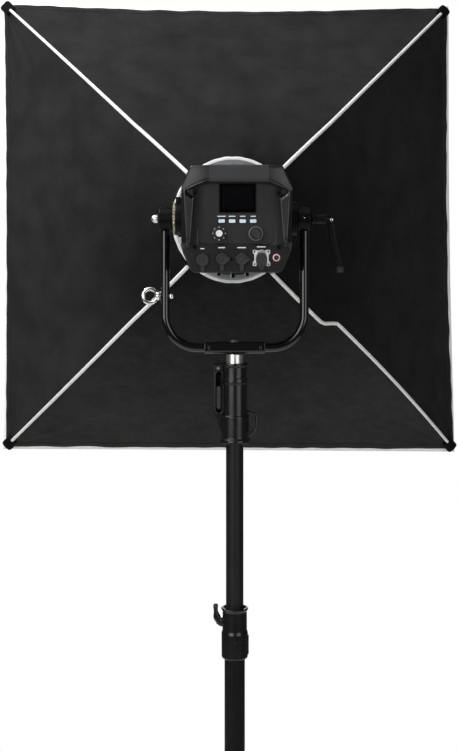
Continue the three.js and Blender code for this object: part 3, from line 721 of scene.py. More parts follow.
def build_pockets():
    """A folded leather-like pocket over each front corner, which takes the end of a rod."""
    # Distance in from the corner, half width and lift off the cloth.
    stations = ((-2, 8, 0), (-1, 11.5, 3.2), (2.5, 13.2, 5.4), (10, 13.2, 5.8), (19, 12.2, 5.6),
        (27, 11, 5.0), (28.5, 10.4, 2.2))
    for corner, name in enumerate(CORNERS):
        tip = shell_point(corner, 1.0)
        inward = Vector((-tip.x, 0, -tip.z)).normalized()
        sideways = Vector((inward.z, 0, -inward.x))
        loops = []
        for reach, half, lift in stations:
            row = []
            for k in range(17):
                t = k / 8 - 1
                spot = tip + inward * (reach + 1.2 * t * t) + sideways * (half * t)
                spot.y -= lift * (0.35 + 0.65 * max(0.0, 1 - abs(t) ** 3)) + 4.5
                spot.y -= max(0, reach) * 0.62 * math.tan(math.pi / 2 - SLOPE) * 0.8
                row.append(spot)
            under = [Vector((p.x, min(p.y + 9, FRONT_Y + 2.5), p.z)) for p in row]
            loops.append(row + under[::-1])
        pocket = show("corner_pocket_" + name, loft(loops), "webbing", angle=51)
        fine = pocket.modifiers.new("rounding", "SUBSURF")
        fine.levels = fine.render_levels = 2


def front_point(x, z, proud=0.0):
    """A point of the front cloth, for x and z from -1 to 1, pulled out of square like the shell's edge."""
    half = FRONT_HALF + CLOTH_TUCK
    edge = (1 - x * x) * (1 - z * z)
    fold = noise.noise(Vector((x * 5, z * 5, 2.0))) * 1.2 * edge
    pucker = math.sin(math.atan2(1 - abs(x) + 0.02, 1 - abs(z) + 0.02) * 22) * abs(x * z) ** 3 * 1.6
    spot = Vector((x * half, FRONT_Y + 1.6 - 2.0 * edge + fold + pucker * min(1.0, edge * 40) + proud,
        z * half))
    if z > 0:
        pull = CORNER_PULL[1] if x > 0 else CORNER_PULL[0]
    else:
        pull = CORNER_PULL[2] if x > 0 else CORNER_PULL[3]
    spot.x += pull[0] * abs(x * z)
    spot.z += pull[1] * abs(x * z)
    spot.z -= (EDGE_BOW[0] * max(0, z) ** 6 - EDGE_BOW[2] * max(0, -z) ** 6) * (1 - x * x) ** 1.4
    spot.x -= (EDGE_BOW[1] * max(0, x) ** 6 - EDGE_BOW[3] * max(0, -x) ** 6) * (1 - z * z) ** 1.4
    return spot


def round_square(around, share):
    """A place on a square of that half width, for around from 0 to 4, as a pair."""
    return corner_turn(int(around) % PANELS, share * (2 * (around % 1) - 1), share)


def grid(steps, point):
    """Rows of points from a function of x and z, which run from -1 to 1."""
    shares = [2 * i / steps - 1 for i in range(steps + 1)]
    return skin([[point(x, z) for z in shares] for x in shares], closed=False)


def build_front_cloth():
    """The white front cloth, whose edge shows outside the black shell, with its stitched border."""
    front = show_cloth("front_cloth", raw_mesh(*grid(96, front_point)), "cloth", 0.0012,
        replaces=("front_diffuser",), angle=70)
    count = 480
    rows = [[front_point(*round_square(PANELS * i / count, share), proud) for i in range(count)] for share,
        proud in ((0.953, 0.7), (0.956, 1.9), (0.992, 2.0), (0.999, 0.9))]
    border = show("cloth_border", raw_mesh(*skin(rows)), "tape", angle=60)
    stitches, count = [], 640
    for share in (0.960, 0.987):
        for i in range(count):
            ends = [front_point(*round_square(PANELS * (i + step) / count, share), 2.1)
                for step in (0, 0.6)]
            stitches.append(pipe(ends, STITCH_RADIUS, sides=5))
    show("border_stitching", joined(*stitches), "thread_pale")


def build_inner_cloth():
    """A square cloth pulled in a little along its four sides, held by its corners."""
    low, high = span("inner_baffle")
    half = (high.x - low.x) / 2
    middle = (low.y + high.y) / 2

    def point(x, z):
        sag = 5 * (1 - x * x) * (1 - z * z)
        return (half * x * (1 - 0.05 * (1 - z * z) * abs(x)), middle + sag,
            half * z * (1 - 0.05 * (1 - x * x) * abs(z)))
    inner = show_cloth("inner_cloth", new_mesh(*grid(40, point)), "cloth", 0.001, -1,
        replaces=("inner_baffle",), angle=70)


def build_softbox():
    """The shell with its trim, rods, pockets and cloths."""
    shell = build_shell()
    piping = build_piping()
    build_rods()
    build_shell_trim()
    build_pockets()
    build_front_cloth()
    build_inner_cloth()


# ---------------------------------------------------------------- lamp head

LAMP_TOP = 80.6
CASE_CORNERS = [(-74, LAMP_TOP), (74, LAMP_TOP), (88.4, 45), (88.4, -52), (72, -90), (-72, -90),
    (-88.4, -52), (-88.4, 45)]
COVER_FACE = -163.0
FLOOR_FACE = span("control_panel")[0].y
BAR_LOW = 54.3


def rounded_loop(half_a, half_b, power, count=36):
    """Points of a box-like oval, as pairs."""
    points = []
    for k in range(count):
        turn = 2 * math.pi * k / count
        c, s = math.cos(turn), math.sin(turn)
        points.append((math.copysign(abs(c) ** (2 / power), c) * half_a,
            math.copysign(abs(s) ** (2 / power), s) * half_b))
    return points


def casing_outline(inset=0.0, radius=9.0):
    """The lamp's eight-cornered outline seen from the rear, drawn in by an inset."""
    corners = [(x * (1 - inset / 87), z * (1 - inset / 86)) for x, z in CASE_CORNERS]
    return softened(corners, radius, steps=5)


def lip(distance):
    """Height of the top bar's lower edge at a distance from the middle, level and then falling."""
    share = min(1.0, max(0.0, (distance - 46) / 36))
    return BAR_LOW - 15 * share ** 1.35


def bar_front(distance):
    """The Y of the top bar's front at a distance from the middle."""
    return -175.6 + (max(0, distance - 44) / 43) ** 2 * 9


def bar_section(x, proud=0.0):
    """The outline of the top bar and its shoulders, cut across at a distance from the middle."""
    d = abs(x)
    high = LAMP_TOP if d < 73 else LAMP_TOP - (d - 73) * (LAMP_TOP - 46) / 15.4
    low = lip(d)
    front, back = bar_front(d) - proud, -156.0
    middle, half = (high + low) / 2, (high - low) / 2 + proud
    return [Vector((x, (front + back) / 2 + b, middle + a)) for a,
        b in rounded_loop(half, (back - front) / 2, 5)]


def ridge_height(share):
    """Depth position of a pillar's ridge, from its top (0) to its lower end (1)."""
    return -174 + 1.5 * share + 10 * max(0.0, (share - 0.86) / 0.14) ** 2 + 7 * max(0.0,
        (0.06 - share) / 0.06)


def pillar(side):
    """A wedge down one side of the recess, narrowing to its lower end, and its two ridge lines."""
    loops, ridges = [], [[], []]
    for step in range(25):
        t = step / 24
        face = ridge_height(t)
        outer, inner = 83.4 - 4.6 * t, 69.0 + 6.0 * t
        section = [(88.2, -157), (88.2, -161.8), (outer, face), (inner, face + 0.5), (inner - 5, -160.6),
            (inner - 5, -157)]
        loop = []
        for x, y in softened(section, 1.2, steps=3):
            top = 42 - 0.75 * max(0.0, 84 - x)
            loop.append(Vector((side * x, y, top + (-47 - top) * t)))
        loops.append(loop)
        for line, x, y in ((ridges[0], outer, face), (ridges[1], inner, face + 0.5)):
            top = 42 - 0.75 * max(0.0, 84 - x)
            line.append(Vector((side * x, y + 0.1, top + (-47 - top) * t)))
    beads = [pipe(line, lambda t: 0.75 - 0.3 * t, sides=8) for line in ridges]
    return loft(loops), joined(*beads)


def socket_screw(x, z, face, radius, depth=8):
    """A round screw head with a hollow socket, facing the rear."""
    profile = [(0, face + 1.6), (radius * 0.45, face + 1.6), (radius * 0.5, face), (radius, face),
        (radius, face + depth), (0, face + depth)]
    return at(turned(profile, sides=24, soft=0.25, toward="Y"), x, 0, z)


def recess_face(side_steps=40, rows=30):
    """The recessed panel: flat in the middle and curving out to the pillars and up under the top bar."""
    lines = []
    for row in range(rows + 1):
        t = row / rows
        wide = 74.5 - 5.6 * t
        line = []
        for column in range(-side_steps, side_steps + 1):
            x = wide * column / side_steps
            out = max(0.0, (abs(x) - 50) / (wide - 50)) ** 2.2 * 11.5
            under = max(0.0, (t - 0.985) / 0.015) ** 2 * 6.0
            line.append((x, FLOOR_FACE - max(out, under) - 0.3 * min(out, under),
                -45 + (lip(abs(x)) + 45.5) * t))
        lines.append(line)
    return new_mesh(*skin(lines, closed=False))


def build_rear_cover():
    """The rear cover with its top bar, pillars, badge plate, lower panel and corner screws."""
    recess = rectangle(0, 4.9, 121, 97.2, 5)
    frame_plate = plate(casing_outline(), [recess], COVER_FACE, -138.4, bevel=2.4)
    stations = [-88 + 176 * i / 80 for i in range(81)]
    top_bar = loft([bar_section(x) for x in stations])
    feet = [at(turned([(0, -167.5), (3.4, -167.5), (3.8, -160), (0, -160)], sides=20, toward="Y"),
        side * 77, 0, -46.5) for side in (-1, 1)]
    (left, left_beads), (right, right_beads) = pillar(-1), pillar(1)
    body = joined(frame_plate, top_bar, left, right, *feet)
    show("rear_cover_shell", body, "casing", replaces=("rear_cover",))
    # The shoulder lips and the pillar ridge beads are shown lighter than the casing: painted highlight on the
    # cover's edges.
    lips = []
    for side in (-1, 1):
        reach = [50 + 35 * i / 24 for i in range(25)]
        line = [Vector((side * d, bar_front(d) + 0.9, lip(d) + 1.6)) for d in reach]
        lips.append(pipe(line, lambda t: 0.35 + 0.5 * math.sin(math.pi * min(1.0, t + 0.12)), sides=8))
    show("cover_edges", joined(left_beads, right_beads, *lips), "edge", angle=60)

    badge = loft([bar_section(-44.2 + 95 * i / 20, 0.7) for i in range(21)])
    show("blank_badge_plate", badge, "plate")
    # The connector panel is darker than the control panel above it: painted shade of the lower section, which
    # turns down and back.
    lower = plate([(-80, -45.4), (80, -45.4), (84.5, -54), (69.5, -88), (-69.5, -88), (-84.5, -54)], [],
        -164.6, -161, bevel=1.2)
    show("connector_panel", lower, "lower")
    screws = [(-65.4, 36.7, -171.6), (66.2, 35.8, -171.6), (-66.8, -49.1, -166.8), (67, -49.8, -166.8)]
    heads = [socket_screw(x, z, face, 3.3) for x, z, face in screws]
    heads.append(socket_screw(-8.3, -68.8, -166.6, 2.4, 4))
    show("cover_screws", joined(*heads), "hole")


def build_casing():
    """The long housing behind the cover, with cooling louvres on four sides and screws at its corners."""
    outside = [(-137.6, 3.0), (-136.8, 1.2), (-120, 0.6), (-119, 1.6), (-118, 1.6), (-117, 0.6), (60, 0.6),
        (61, 1.6), (62, 1.6), (63, 0.6), (86, 1.4), (93, 4.0), (95, 8.0)]
    inside = [(95, 30), (80, 30), (80, 5), (-137.6, 5)]
    loops = [[Vector((p.x, y, p.y)) for p in casing_outline(inset)] for y, inset in outside + inside]
    show("lamp_housing", new_mesh(*skin(loops + loops[:1])), "casing", replaces=("lamp_casing",))

    fins = []
    for i in range(17):
        y = -108 + i * 5.2
        for side in (-1, 1):
            x = side * 87.8
            high = 34 if abs(y + 2) > 36 else -34       # shorter under the tilt discs
            fins.append(block((x - 1.4, y - 1.2, -44), (x + 1.4, y + 1.2, high), 0.8, 3))
    for i in range(25):
        y = -108 + i * 6.4
        fins.append(block((-58, y - 1.2, 78.6), (58, y + 1.2, 81.6), 0.8, 3))
        fins.append(block((-56, y - 1.2, -90.8), (56, y + 1.2, -88.0), 0.8, 3))
    show("cooling_louvres", joined(*fins), "lower")

    screws = []
    profile = [(0, 0), (1.6, 0), (1.8, 1.2), (3.2, 1.2), (3.2, -2), (0, -2)]
    for side in (-1, 1):
        head = moved(turned(profile, sides=24, soft=0.25), Matrix.Rotation(side * math.pi / 2, 4, "Y"))
        screws += [at(head, side * 87.7, y, z) for y in (-128, 76) for z in (38, -46)]
    show("housing_screws", joined(*screws), "steel")


def build_controls():
    """The recessed panel with its screen, four menu buttons and blank labels."""
    show("control_panel_face", recess_face(), "panel", replaces=("control_panel",))
    bezel = plate(rectangle(1.5, 29, 59.4, 47.2, 2.4), [rectangle(1.5, 29, 56.6, 44.4, 1.6)], -161.1, -159,
        0.3)
    show("screen_bezel", bezel, "bezel")
    glass = plate(rectangle(1.5, 29, 57.0, 44.8, 1.6), [], -160.7, -157, bevel=0.3)
    show("screen_glass", glass, "glass", replaces=("display_screen",))
    active = plate(rectangle(1.5, 30, 50, 37.5, 0.8), [], -160.78, -160, bevel=0.02)
    show("screen_area", active, "bezel")

    frames, legends = [], []
    for index, width in enumerate((13.5, 10.8, 8.8, 8.2)):
        low, high = span("menu_button_" + str(index + 1))
        x, z = (low.x + high.x) / 2, (low.z + high.z) / 2
        cap = block((low.x + 0.1, low.y - 0.4, low.z + 0.1), (high.x - 0.1, low.y + 4, high.z - 0.1), 1.3,
            4)
        show("button_cap_" + str(index + 1), cap, "button", "button_" + str(index + 1),
            replaces=("menu_button_" + str(index + 1),))
        frames.append(plate(rectangle(x, z, 12.6, 8.0, 1.8), [rectangle(x, z, 11.2, 6.6, 1.4)], -160.6,
            -159.4, 0.25))
        legends.append(plate(rectangle(x, z + 7.6, width, 1.7, 0.7), [], -160.2, -159.9, 0.03))
    for x, z, width in ((-54.5, -51.6, 6.5), (-24, -50.0, 11), (7.7, -50.0, 13.5), (39, -48.8, 14)):
        legends.append(plate(rectangle(x, z, width, 1.7, 0.7), [], -164.8, -164.4, 0.03))
    show("button_frames", joined(*frames), "bezel")
    show("blank_legend_strips", joined(*legends), "legend")


def dial(x, z, body_radius, skirt_inner):
    """A knurled dial with a flat skirt, whose turning axis runs along Y."""
    def knurl(turn, radius, height):
        """Ribs round the dial's grip."""
        return 0.03 * math.cos(turn * 28) if radius > body_radius - 1.2 and height < -164.8 else 0.0
    skirt = turned([(skirt_inner, -160.4), (skirt_inner, -164.4), (11.4, -164.0), (11.6, -160.4)], sides=64,
        soft=0.4, toward="Y")
    body = turned([(0, -171.3), (body_radius - 2.2, -171.3), (body_radius - 1.4, -172.2),
        (body_radius - 0.4, -171.6), (body_radius, -164.2), (body_radius, -160.4), (0, -160.4)], sides=112,
        soft=0.3, toward="Y", ripple=knurl)
    place = Matrix.Translation((x, 0, z))
    return moved(skirt, place), moved(body, place)


def build_knobs():
    """The two knobs, each on its own body."""
    (left, right), z = (-28.0, 30.3), -27.5
    skirt, body = dial(left, z, 8.4, 6.5)
    show("dimmer_dial", joined(skirt, body), "knob", "dimmer", replaces=("dimmer_knob",))
    cap = at(turned([(0, -172.0), (3.4, -172.3), (5.2, -172.7), (5.3, -171), (0, -171)], sides=40, soft=0.5,
        toward="Y"), left, 0, z)
    show("dimmer_cap", cap, "legend", "dimmer")
    dot = at(turned([(0, -164.9), (0.85, -164.9), (0.85, -163.8), (0, -163.8)], sides=14, soft=0.15,
        toward="Y"), 10.1, 0, 0)
    dots = at(ring_of_copies(dot, 8, "Y"), left, 0, z)
    show("dimmer_dots", dots, "legend", "dimmer")

    skirt, body = dial(right, z, 8.4, 9.9)
    show("select_ring", skirt, "knob_ring", "selector", replaces=("select_knob",))
    base = at(turned([(0, -163.4), (10, -163.4), (10, -160.4), (0, -160.4)], sides=48, toward="Y"), right,
        0, z)
    show("select_dial", joined(base, body), "knob", "selector")


def connector_socket(x, z, width, height):
    """A square flange with four screws round a three-pin round socket."""
    parts = [plate(rectangle(x, z, width, height, 3), [circle(x, z, 7.2, 32)], -165.2, -160, 0.5)]
    well = turned([(7.2, -165.2), (7.2, -156), (0, -156), (0, -155), (8, -155), (8, -165.0)], sides=32,
        soft=0, toward="Y")
    parts.append(at(well, x, 0, z))
    for sx in (-1, 1):
        for sz in (-1, 1):
            parts.append(socket_screw(x + sx * (width / 2 - 2.6), z + sz * (height / 2 - 2.6), -165.9, 1.6,
                3))
    return joined(*parts)


def build_connectors():
    """The row below the panel: sockets with their caps, power inlet and fuse."""
    sockets = [connector_socket(-54.2, -69.7, 20.5, 21), connector_socket(-23.5, -67.2, 20.5, 23),
        connector_socket(8.0, -67.2, 20.5, 23)]
    show("connector_sockets", joined(*sockets), "lower")
    pins = []
    for x, z in ((-54.2, -69.7), (-23.5, -68.5), (8.0, -68.5)):
        pin = at(turned([(0, -163), (1, -162.4), (1, -156), (0, -156)], sides=12, soft=0.2, toward="Y"),
            3.4, 0, 0)
        pins.append(at(ring_of_copies(pin, 3, "Y", math.pi / 2), x, 0, z))
    show("connector_pins", joined(*pins), "steel")

    for name, body, x, z, tab in (("usb_cap", "usb_lid", -54.2, -69.7, False),
            ("control_cap_in", "control_lid_in", -23.5, -68.5, True),
            ("control_cap_out", "control_lid_out", 8.0, -68.5, True)):
        radius = 9.6 if tab else 10.3
        lid = turned([(0, -169.0), (2.2, -169.2), (2.6, -168.4), (radius - 2.6, -168.4),
            (radius - 1.8, -169.1), (radius, -168), (radius, -165.5), (0, -165.5)], sides=48, soft=0.4,
            toward="Y")
        parts = [at(lid, x, 0, z)]
        strap = softened([(x - 2.9, z - 6), (x + 2.9, z - 6), (x + 3.4, z - 16), (x + 2.4, z - 18.3),
            (x - 2.4, z - 18.3), (x - 3.4, z - 16)], 1.4)
        parts.append(plate(strap, [], -168.0, -165.5, 0.5))
        if tab:
            point = softened([(x + 4, z + 8.8), (x + 12.8, z + 1.8), (x + 12.8, z - 1.2), (x + 5, z - 8.0)],
                1.5)
            parts.append(plate(point, [], -168.4, -165.7, 0.6))
        show(name + "_lid", joined(*parts), "rubber", body, replaces=(name,))

    x, z = 39.2, -66.3
    outline = [(-13.9, -12.9), (-8, -12.9), (-6, -10.8), (6, -10.8), (8, -12.9), (13.9, -12.9), (13.9, -7),
        (11.4, -5), (11.4, 5), (13.9, 7), (13.9, 12.9), (8, 12.9), (6, 11.6), (-6, 11.6), (-8, 12.9),
        (-13.9, 12.9), (-13.9, 7), (-11.4, 5), (-11.4, -5), (-13.9, -7)]
    outline = softened([(x + a, z + b) for a, b in outline], 1.6)
    holes = [circle(x + a, z + b, 1.3, 16) for a in (-11.2, 11.2) for b in (-10.2, 10.2)]
    flange = plate(outline, holes, -166.8, -164.4, 0.5)
    shroud = plate(rectangle(x, z, 21, 20, 5), [rectangle(x, z, 17.6, 16.6, 3.6)], -168.6, -160, 0.6)
    arch = pipe([(x + 9.4 * math.cos(t), -168.2, z + 2.4 + 9.4 * math.sin(t))
        for t in [math.pi * (0.12 + 0.76 * k / 16) for k in range(17)]], 1.5, sides=10)
    show("power_flange", joined(flange, shroud, arch), "inlet", replaces=("power_inlet",))
    cover = softened([(x - 7.8, z - 13), (x + 7.8, z - 13), (x + 8.6, z + 1), (x + 4.4, z + 7.8),
        (x - 4.4, z + 7.8), (x - 8.6, z + 1)], 2.0)
    flap = softened([(x - 6, z - 10), (x + 6, z - 10), (x + 3.4, z - 19), (x - 3.4, z - 19)], 1.6)
    show("power_cover", joined(plate(cover, [], -170.4, -164, 0.9), plate(flap, [], -168.6, -165, 0.7)),
        "rubber")

    place = Matrix.Translation((62.8, 0, -65.9))
    washer = turned([(5.3, -165.9), (6.4, -165.9), (6.6, -164.4), (5.3, -164.4)], sides=40, soft=0.4,
        toward="Y")
    show("fuse_washer", moved(washer, place), "red", replaces=("fuse_cap",))
    collar = turned([(4.1, -167.2), (4.9, -167.2), (5.4, -166.2), (5.4, -164.4), (4.1, -164.4)], sides=40,
        soft=0.3, toward="Y")
    show("fuse_collar", moved(collar, place), "legend")
    plug = joined(turned([(0, -167.6), (3.4, -167.6), (4.0, -167), (4.0, -160), (0, -160)], sides=32,
        soft=0.3, toward="Y"), block((-2.3, -168.1, -0.5), (2.3, -167, 0.5), 0.2, 2))
    show("fuse_plug", moved(plug, place), "knob")


def build_optics():
    """The ribbed front mount, and the slotted ring that carries the softbox."""
    def grip(turn, radius, height):
        """Ribs round the mount's grip."""
        return 0.012 * math.cos(turn * 60) if radius > 68 and 100 < height < 118 else 0.0
    barrel = turned([(50, 95.4), (69.6, 95.4), (69.6, 99), (70.6, 100), (70.6, 118), (69.6, 119),
        (69.6, 121), (66, 124), (66, 134), (61, 136), (61, 168), (52, 168), (50, 160)], sides=240, soft=0.7,
        toward="Y", ripple=grip)
    show("bayonet_mount", barrel, "casing", replaces=("lens_mount",))

    ring = turned([(62.5, 151), (70, 150.3), (78, 152.5), (96, 152.5), (99, 150.3), (106.6, 151),
        (107, 156), (107, 170), (105, 172), (62.5, 172)], sides=160, soft=0.8, toward="Y")
    flange = turned([(98, 169.2), (112, 169.2), (112, 170.8), (98, 170.8)], sides=160, soft=0.4, toward="Y")
    hook = joined(block((2.9, 148.2, 96), (4.7, 151.4, 105.6), 0.5, 2),
        block((-2.9, 148.2, 104), (4.7, 151.4, 105.8), 0.5, 2))
    parts = joined(ring, moved(flange, REAR_OPENING), ring_of_copies(hook, 24, "Y"))
    show("adapter_ring", parts, "ring", replaces=("speed_ring",))
    # Near-black blocks in the ring's notches: painted shade inside them.
    notches = ring_of_copies(block((-2.9, 150.0, 97), (2.9, 151.6, 104), 0.4, 2), 24, "Y")
    show("adapter_notch_shade", notches, "hole")
    sockets = []
    for corner in range(4):
        turn = Matrix.Rotation(math.radians(45 + 90 * corner), 4, "Y")
        sleeve = pipe([(0, 160, 92), (0, 171.5, 101)], 5.4, sides=20)
        sockets.append(moved(sleeve, turn))
    show("rod_sockets", joined(*sockets), "steel")

    coil = []
    for i in range(5):
        for j in range(5):
            if (i - 2) ** 2 + (j - 2) ** 2 < 7:
                coil.append(block((i * 6 - 14.2, 66, j * 6 - 14.2), (i * 6 - 9.8, 67.4, j * 6 - 9.8), 0.4,
                    2))
    show("led_dice", joined(*coil), "led")


# ---------------------------------------------------------------- yoke

YOKE_X = 119.5
YOKE_R = 8.0
YOKE_BASE = -221.0
YOKE_BEND = 56.0


def yoke_points():
    """Down the left arm, across and up the right arm, in short steps."""
    half = [(-YOKE_X, 0, -20.8 - 5.7 * i) for i in range(25)]
    for step in range(1, 29):
        turn = math.pi / 2 * step / 28
        x = -YOKE_X + YOKE_BEND * (1 - math.cos(turn))
        half.append((x, 0, YOKE_BASE + YOKE_BEND * (1 - math.sin(turn))))
    half += [(-63.5 + 6.35 * i, 0, YOKE_BASE) for i in range(1, 10)]
    half = [p for i, p in enumerate(half) if i == 0 or (Vector(p) - Vector(half[i - 1])).length > 0.5]
    arm_end = YOKE_BASE + YOKE_BEND
    half = [p for p in half if not (p[0] == -YOKE_X and p[2] < arm_end)]
    return half + [(0, 0, YOKE_BASE)] + [(-x, y, z) for x, y, z in reversed(half)]


def build_yoke():
    """The bent tube with its saddle, pin, hubs, bolts and the ring bolt for a safety cable."""
    show("yoke_arms", pipe(yoke_points(), YOKE_R, sides=40), "gloss", "yoke", replaces=("yoke_tube",),
        angle=50)

    section = softened([(-6, -10.4), (6, -10.4), (10.8, -8.6), (12.8, -4.4), (12.8, 2), (11.2, 9.3),
        (8.9, 9.3), (8.9, 1), (-8.9, 1), (-8.9, 9.3), (-11.2, 9.3), (-12.8, 2), (-12.8, -4.4),
        (-10.8, -8.6)], 2.0, steps=3)
    loops = [[Vector((x, y, YOKE_BASE + z)) for y, z in section] for x in (-51.6, -50.8, 50.8, 51.6)]
    for end in (0, 3):
        loops[end] = [Vector((p.x, p.y * 0.965, YOKE_BASE + (p.z - YOKE_BASE) * 0.965)) for p in loops[end]]
    saddle = loft(loops)
    ribs = [block((x - 1.6, -13.5, YOKE_BASE - 4), (x + 1.6, -12, YOKE_BASE + 4), 0.6, 2)
        for x in (-44, 44)]
    show("yoke_saddle", joined(saddle, *ribs), "gloss", "yoke", replaces=("yoke_bracket",))
    bolt = turned([(0, 13.4), (4.5, 13.0), (7.2, 11.4), (8, 9.2), (8, 7.6), (0, 7.6)], sides=32)
    show("saddle_bolt", at(bolt, 0, 0, YOKE_BASE), "latch", "yoke")

    top = YOKE_BASE - 10.8
    pin = turned([(0, top - 95), (12.6, top - 95), (14.3, top - 93), (14.3, top - 62), (12.2, top - 58),
        (12.2, top - 44), (14.3, top - 40), (14.3, top - 22), (13.6, top - 21.4), (13.6, top - 20.4),
        (14.3, top - 19.8), (14.3, top - 1.2), (13.4, top), (0, top)], sides=72, soft=0.8)
    show("mounting_pin", pin, "satin", "yoke", replaces=("stand_pin",))

    for name, side in (("yoke_hub_left", -1), ("yoke_hub_right", 1)):
        outer = [(5.6, 107.8), (19.6, 107.8), (20.6, 108.8), (20.6, 128.6), (19.8, 129.6), (8, 129.6),
            (8, 131.6), (5.6, 131.6)]
        hub = turned([(r, side * h) for r, h in outer], sides=72, soft=0.9, toward="X")
        show(name + "_body", hub, "disc", "yoke", replaces=(name,))
    bolts = []
    for angle in (60, 180, 300):
        bolt = turned([(0, 108), (2.6, 108), (2.6, 105.6), (1.2, 105.0), (0, 105.0)], sides=20, soft=0.3,
            toward="X")
        spot = Matrix.Rotation(math.radians(angle), 4, "X") @ Matrix.Translation((0, 0, 16))
        bolts.append(moved(bolt, spot))
    bolts.append(at(turned([(0, -21.0), (1.0, -21.3), (1.5, -20.4), (1.5, -18), (0, -18)], sides=20,
        toward="Y"), YOKE_X - 1, 0, 1.2))
    show("hub_bolts", joined(*bolts), "chrome", "yoke")

    z = -132.3
    eye = []
    for k in range(48):
        turn = 2 * math.pi * k / 48
        eye.append((-145.6 + 12 * math.cos(turn), 0, z + 12 * math.sin(turn)))
    ring = pipe(eye, 3.7, sides=18, closed=True)
    collar = turned([(0, -135), (6, -135), (7.6, -134), (7.9, -131.2), (7.9, -129.6), (6.6, -128.6),
        (6.6, -127.9), (0, -127.9)], sides=36, toward="X")
    nut = turned([(0, -111.3), (4.4, -111.3), (4.9, -110), (4.9, -107.6), (3.4, -105.4), (0, -104.8)],
        sides=6, soft=0.5, toward="X")
    bolt = joined(ring, at(collar, 0, 0, z), at(nut, 0, 0, z))
    show("cable_eye", bolt, "chrome", "yoke", replaces=("safety_eye_bolt",))


def build_pivots():
    """The tilt joint: dome nut and axle, the toothed disc and friction plates, and the clamping lever."""
    dome = turned([(0, -143.6), (3.4, -143.0), (6.0, -140.6), (7.2, -137), (7.2, -131.8), (5, -131.8),
        (5, -88.4), (0, -88.4)], sides=48, soft=1.4, toward="X")
    show("pivot_dome_nut", dome, "satin", replaces=("pivot_bolt",))

    def teeth(turn, radius, height):
        """Teeth round the disc's rim."""
        return 0.03 * math.copysign(min(1, abs(math.cos(turn * 30)) * 3),
            math.cos(turn * 30)) if radius > 27 else 0.0
    toothed = turned([(5.6, -107.2), (21, -107.2), (25, -105.6), (27.6, -105.4), (27.6, -101.8),
        (5.6, -101.8)], sides=240, soft=0.5, toward="X", ripple=teeth)
    show("toothed_disc", toothed, "bronze", replaces=("tilt_disc_left",), angle=25)
    dark = turned([(5.6, -101.6), (27.6, -101.6), (28.4, -100.6), (28.4, -91.8), (27, -91.4), (27, -88.6),
        (5.6, -88.6)], sides=96, soft=0.7, toward="X")
    lug = block((-101.2, -5, 26), (-92, 5, 37.6), 1.4)
    show("friction_plate_left", joined(dark, lug), "disc")
    right = turned([(5.6, 88.6), (20, 88.6), (20, 97.6), (28.6, 98.2), (29, 99), (29, 101), (27.8, 101.4),
        (27.8, 102.6), (29, 103), (29, 106), (26, 107.2), (5.6, 107.2)], sides=96, soft=0.5, toward="X")
    nub = at(turned([(0, 98), (3, 98), (3, 93.6), (2.4, 92.8), (0, 92.8)], sides=20, soft=0.4, toward="X"),
        0, -6, 26)
    show("friction_plate_right", joined(right, nub), "disc", replaces=("tilt_disc_right",))

    shaft = turned([(0, 90), (5, 90), (5, 132.2), (7.6, 132.2), (8.3, 133.4), (8.3, 136), (7.4, 136.6),
        (7.4, 138.4), (8.3, 139), (8.3, 157), (6.4, 163), (0, 164.4)], sides=48, soft=0.7, toward="X")
    stations = [(6.2, 158.6, 168.0, 5.2), (2, 158.6, 169.2, 6.3), (-6, 159.0, 170.6, 6.4),
        (-14, 160.2, 171.6, 6.2), (-30, 161.6, 174.4, 5.8), (-44, 164.4, 177.2, 5.8),
        (-58, 168.6, 180.2, 5.9), (-72, 172.6, 183.2, 6.1), (-82, 175.4, 185.6, 6.3)]
    arm = []
    for z, left, right_x, half in stations:
        middle, wide = (left + right_x) / 2, (right_x - left) / 2
        arm.append([Vector((middle + a, b, z)) for a, b in rounded_loop(wide, half, 5, 40)])
    show("clamp_lever", joined(shaft, loft(arm)), "disc", "tilt_lever", replaces=("tilt_lever",), angle=40)
    end = [[Vector((x + a, b, z)) for a, b in rounded_loop(wide, half, 4, 32)] for z, x, wide,
        half in ((-82.2, 180.9, 6.0, 6.0), (-86.4, 181.6, 6.3, 6.3), (-90.4, 181.9, 6.2, 6.2),
        (-92, 181.9, 4.9, 5.0))]
    show("lever_end_cap", loft(end), "rubber", "tilt_lever")
    pin = at(turned([(0, -7.6), (2.4, -7.4), (2.7, -6.6), (2.7, 6.6), (2.4, 7.4), (0, 7.6)], sides=28,
        toward="Y"), 166, 0, -1.5)
    show("lever_pin", pin, "chrome", "tilt_lever")


# ---------------------------------------------------------------- stand

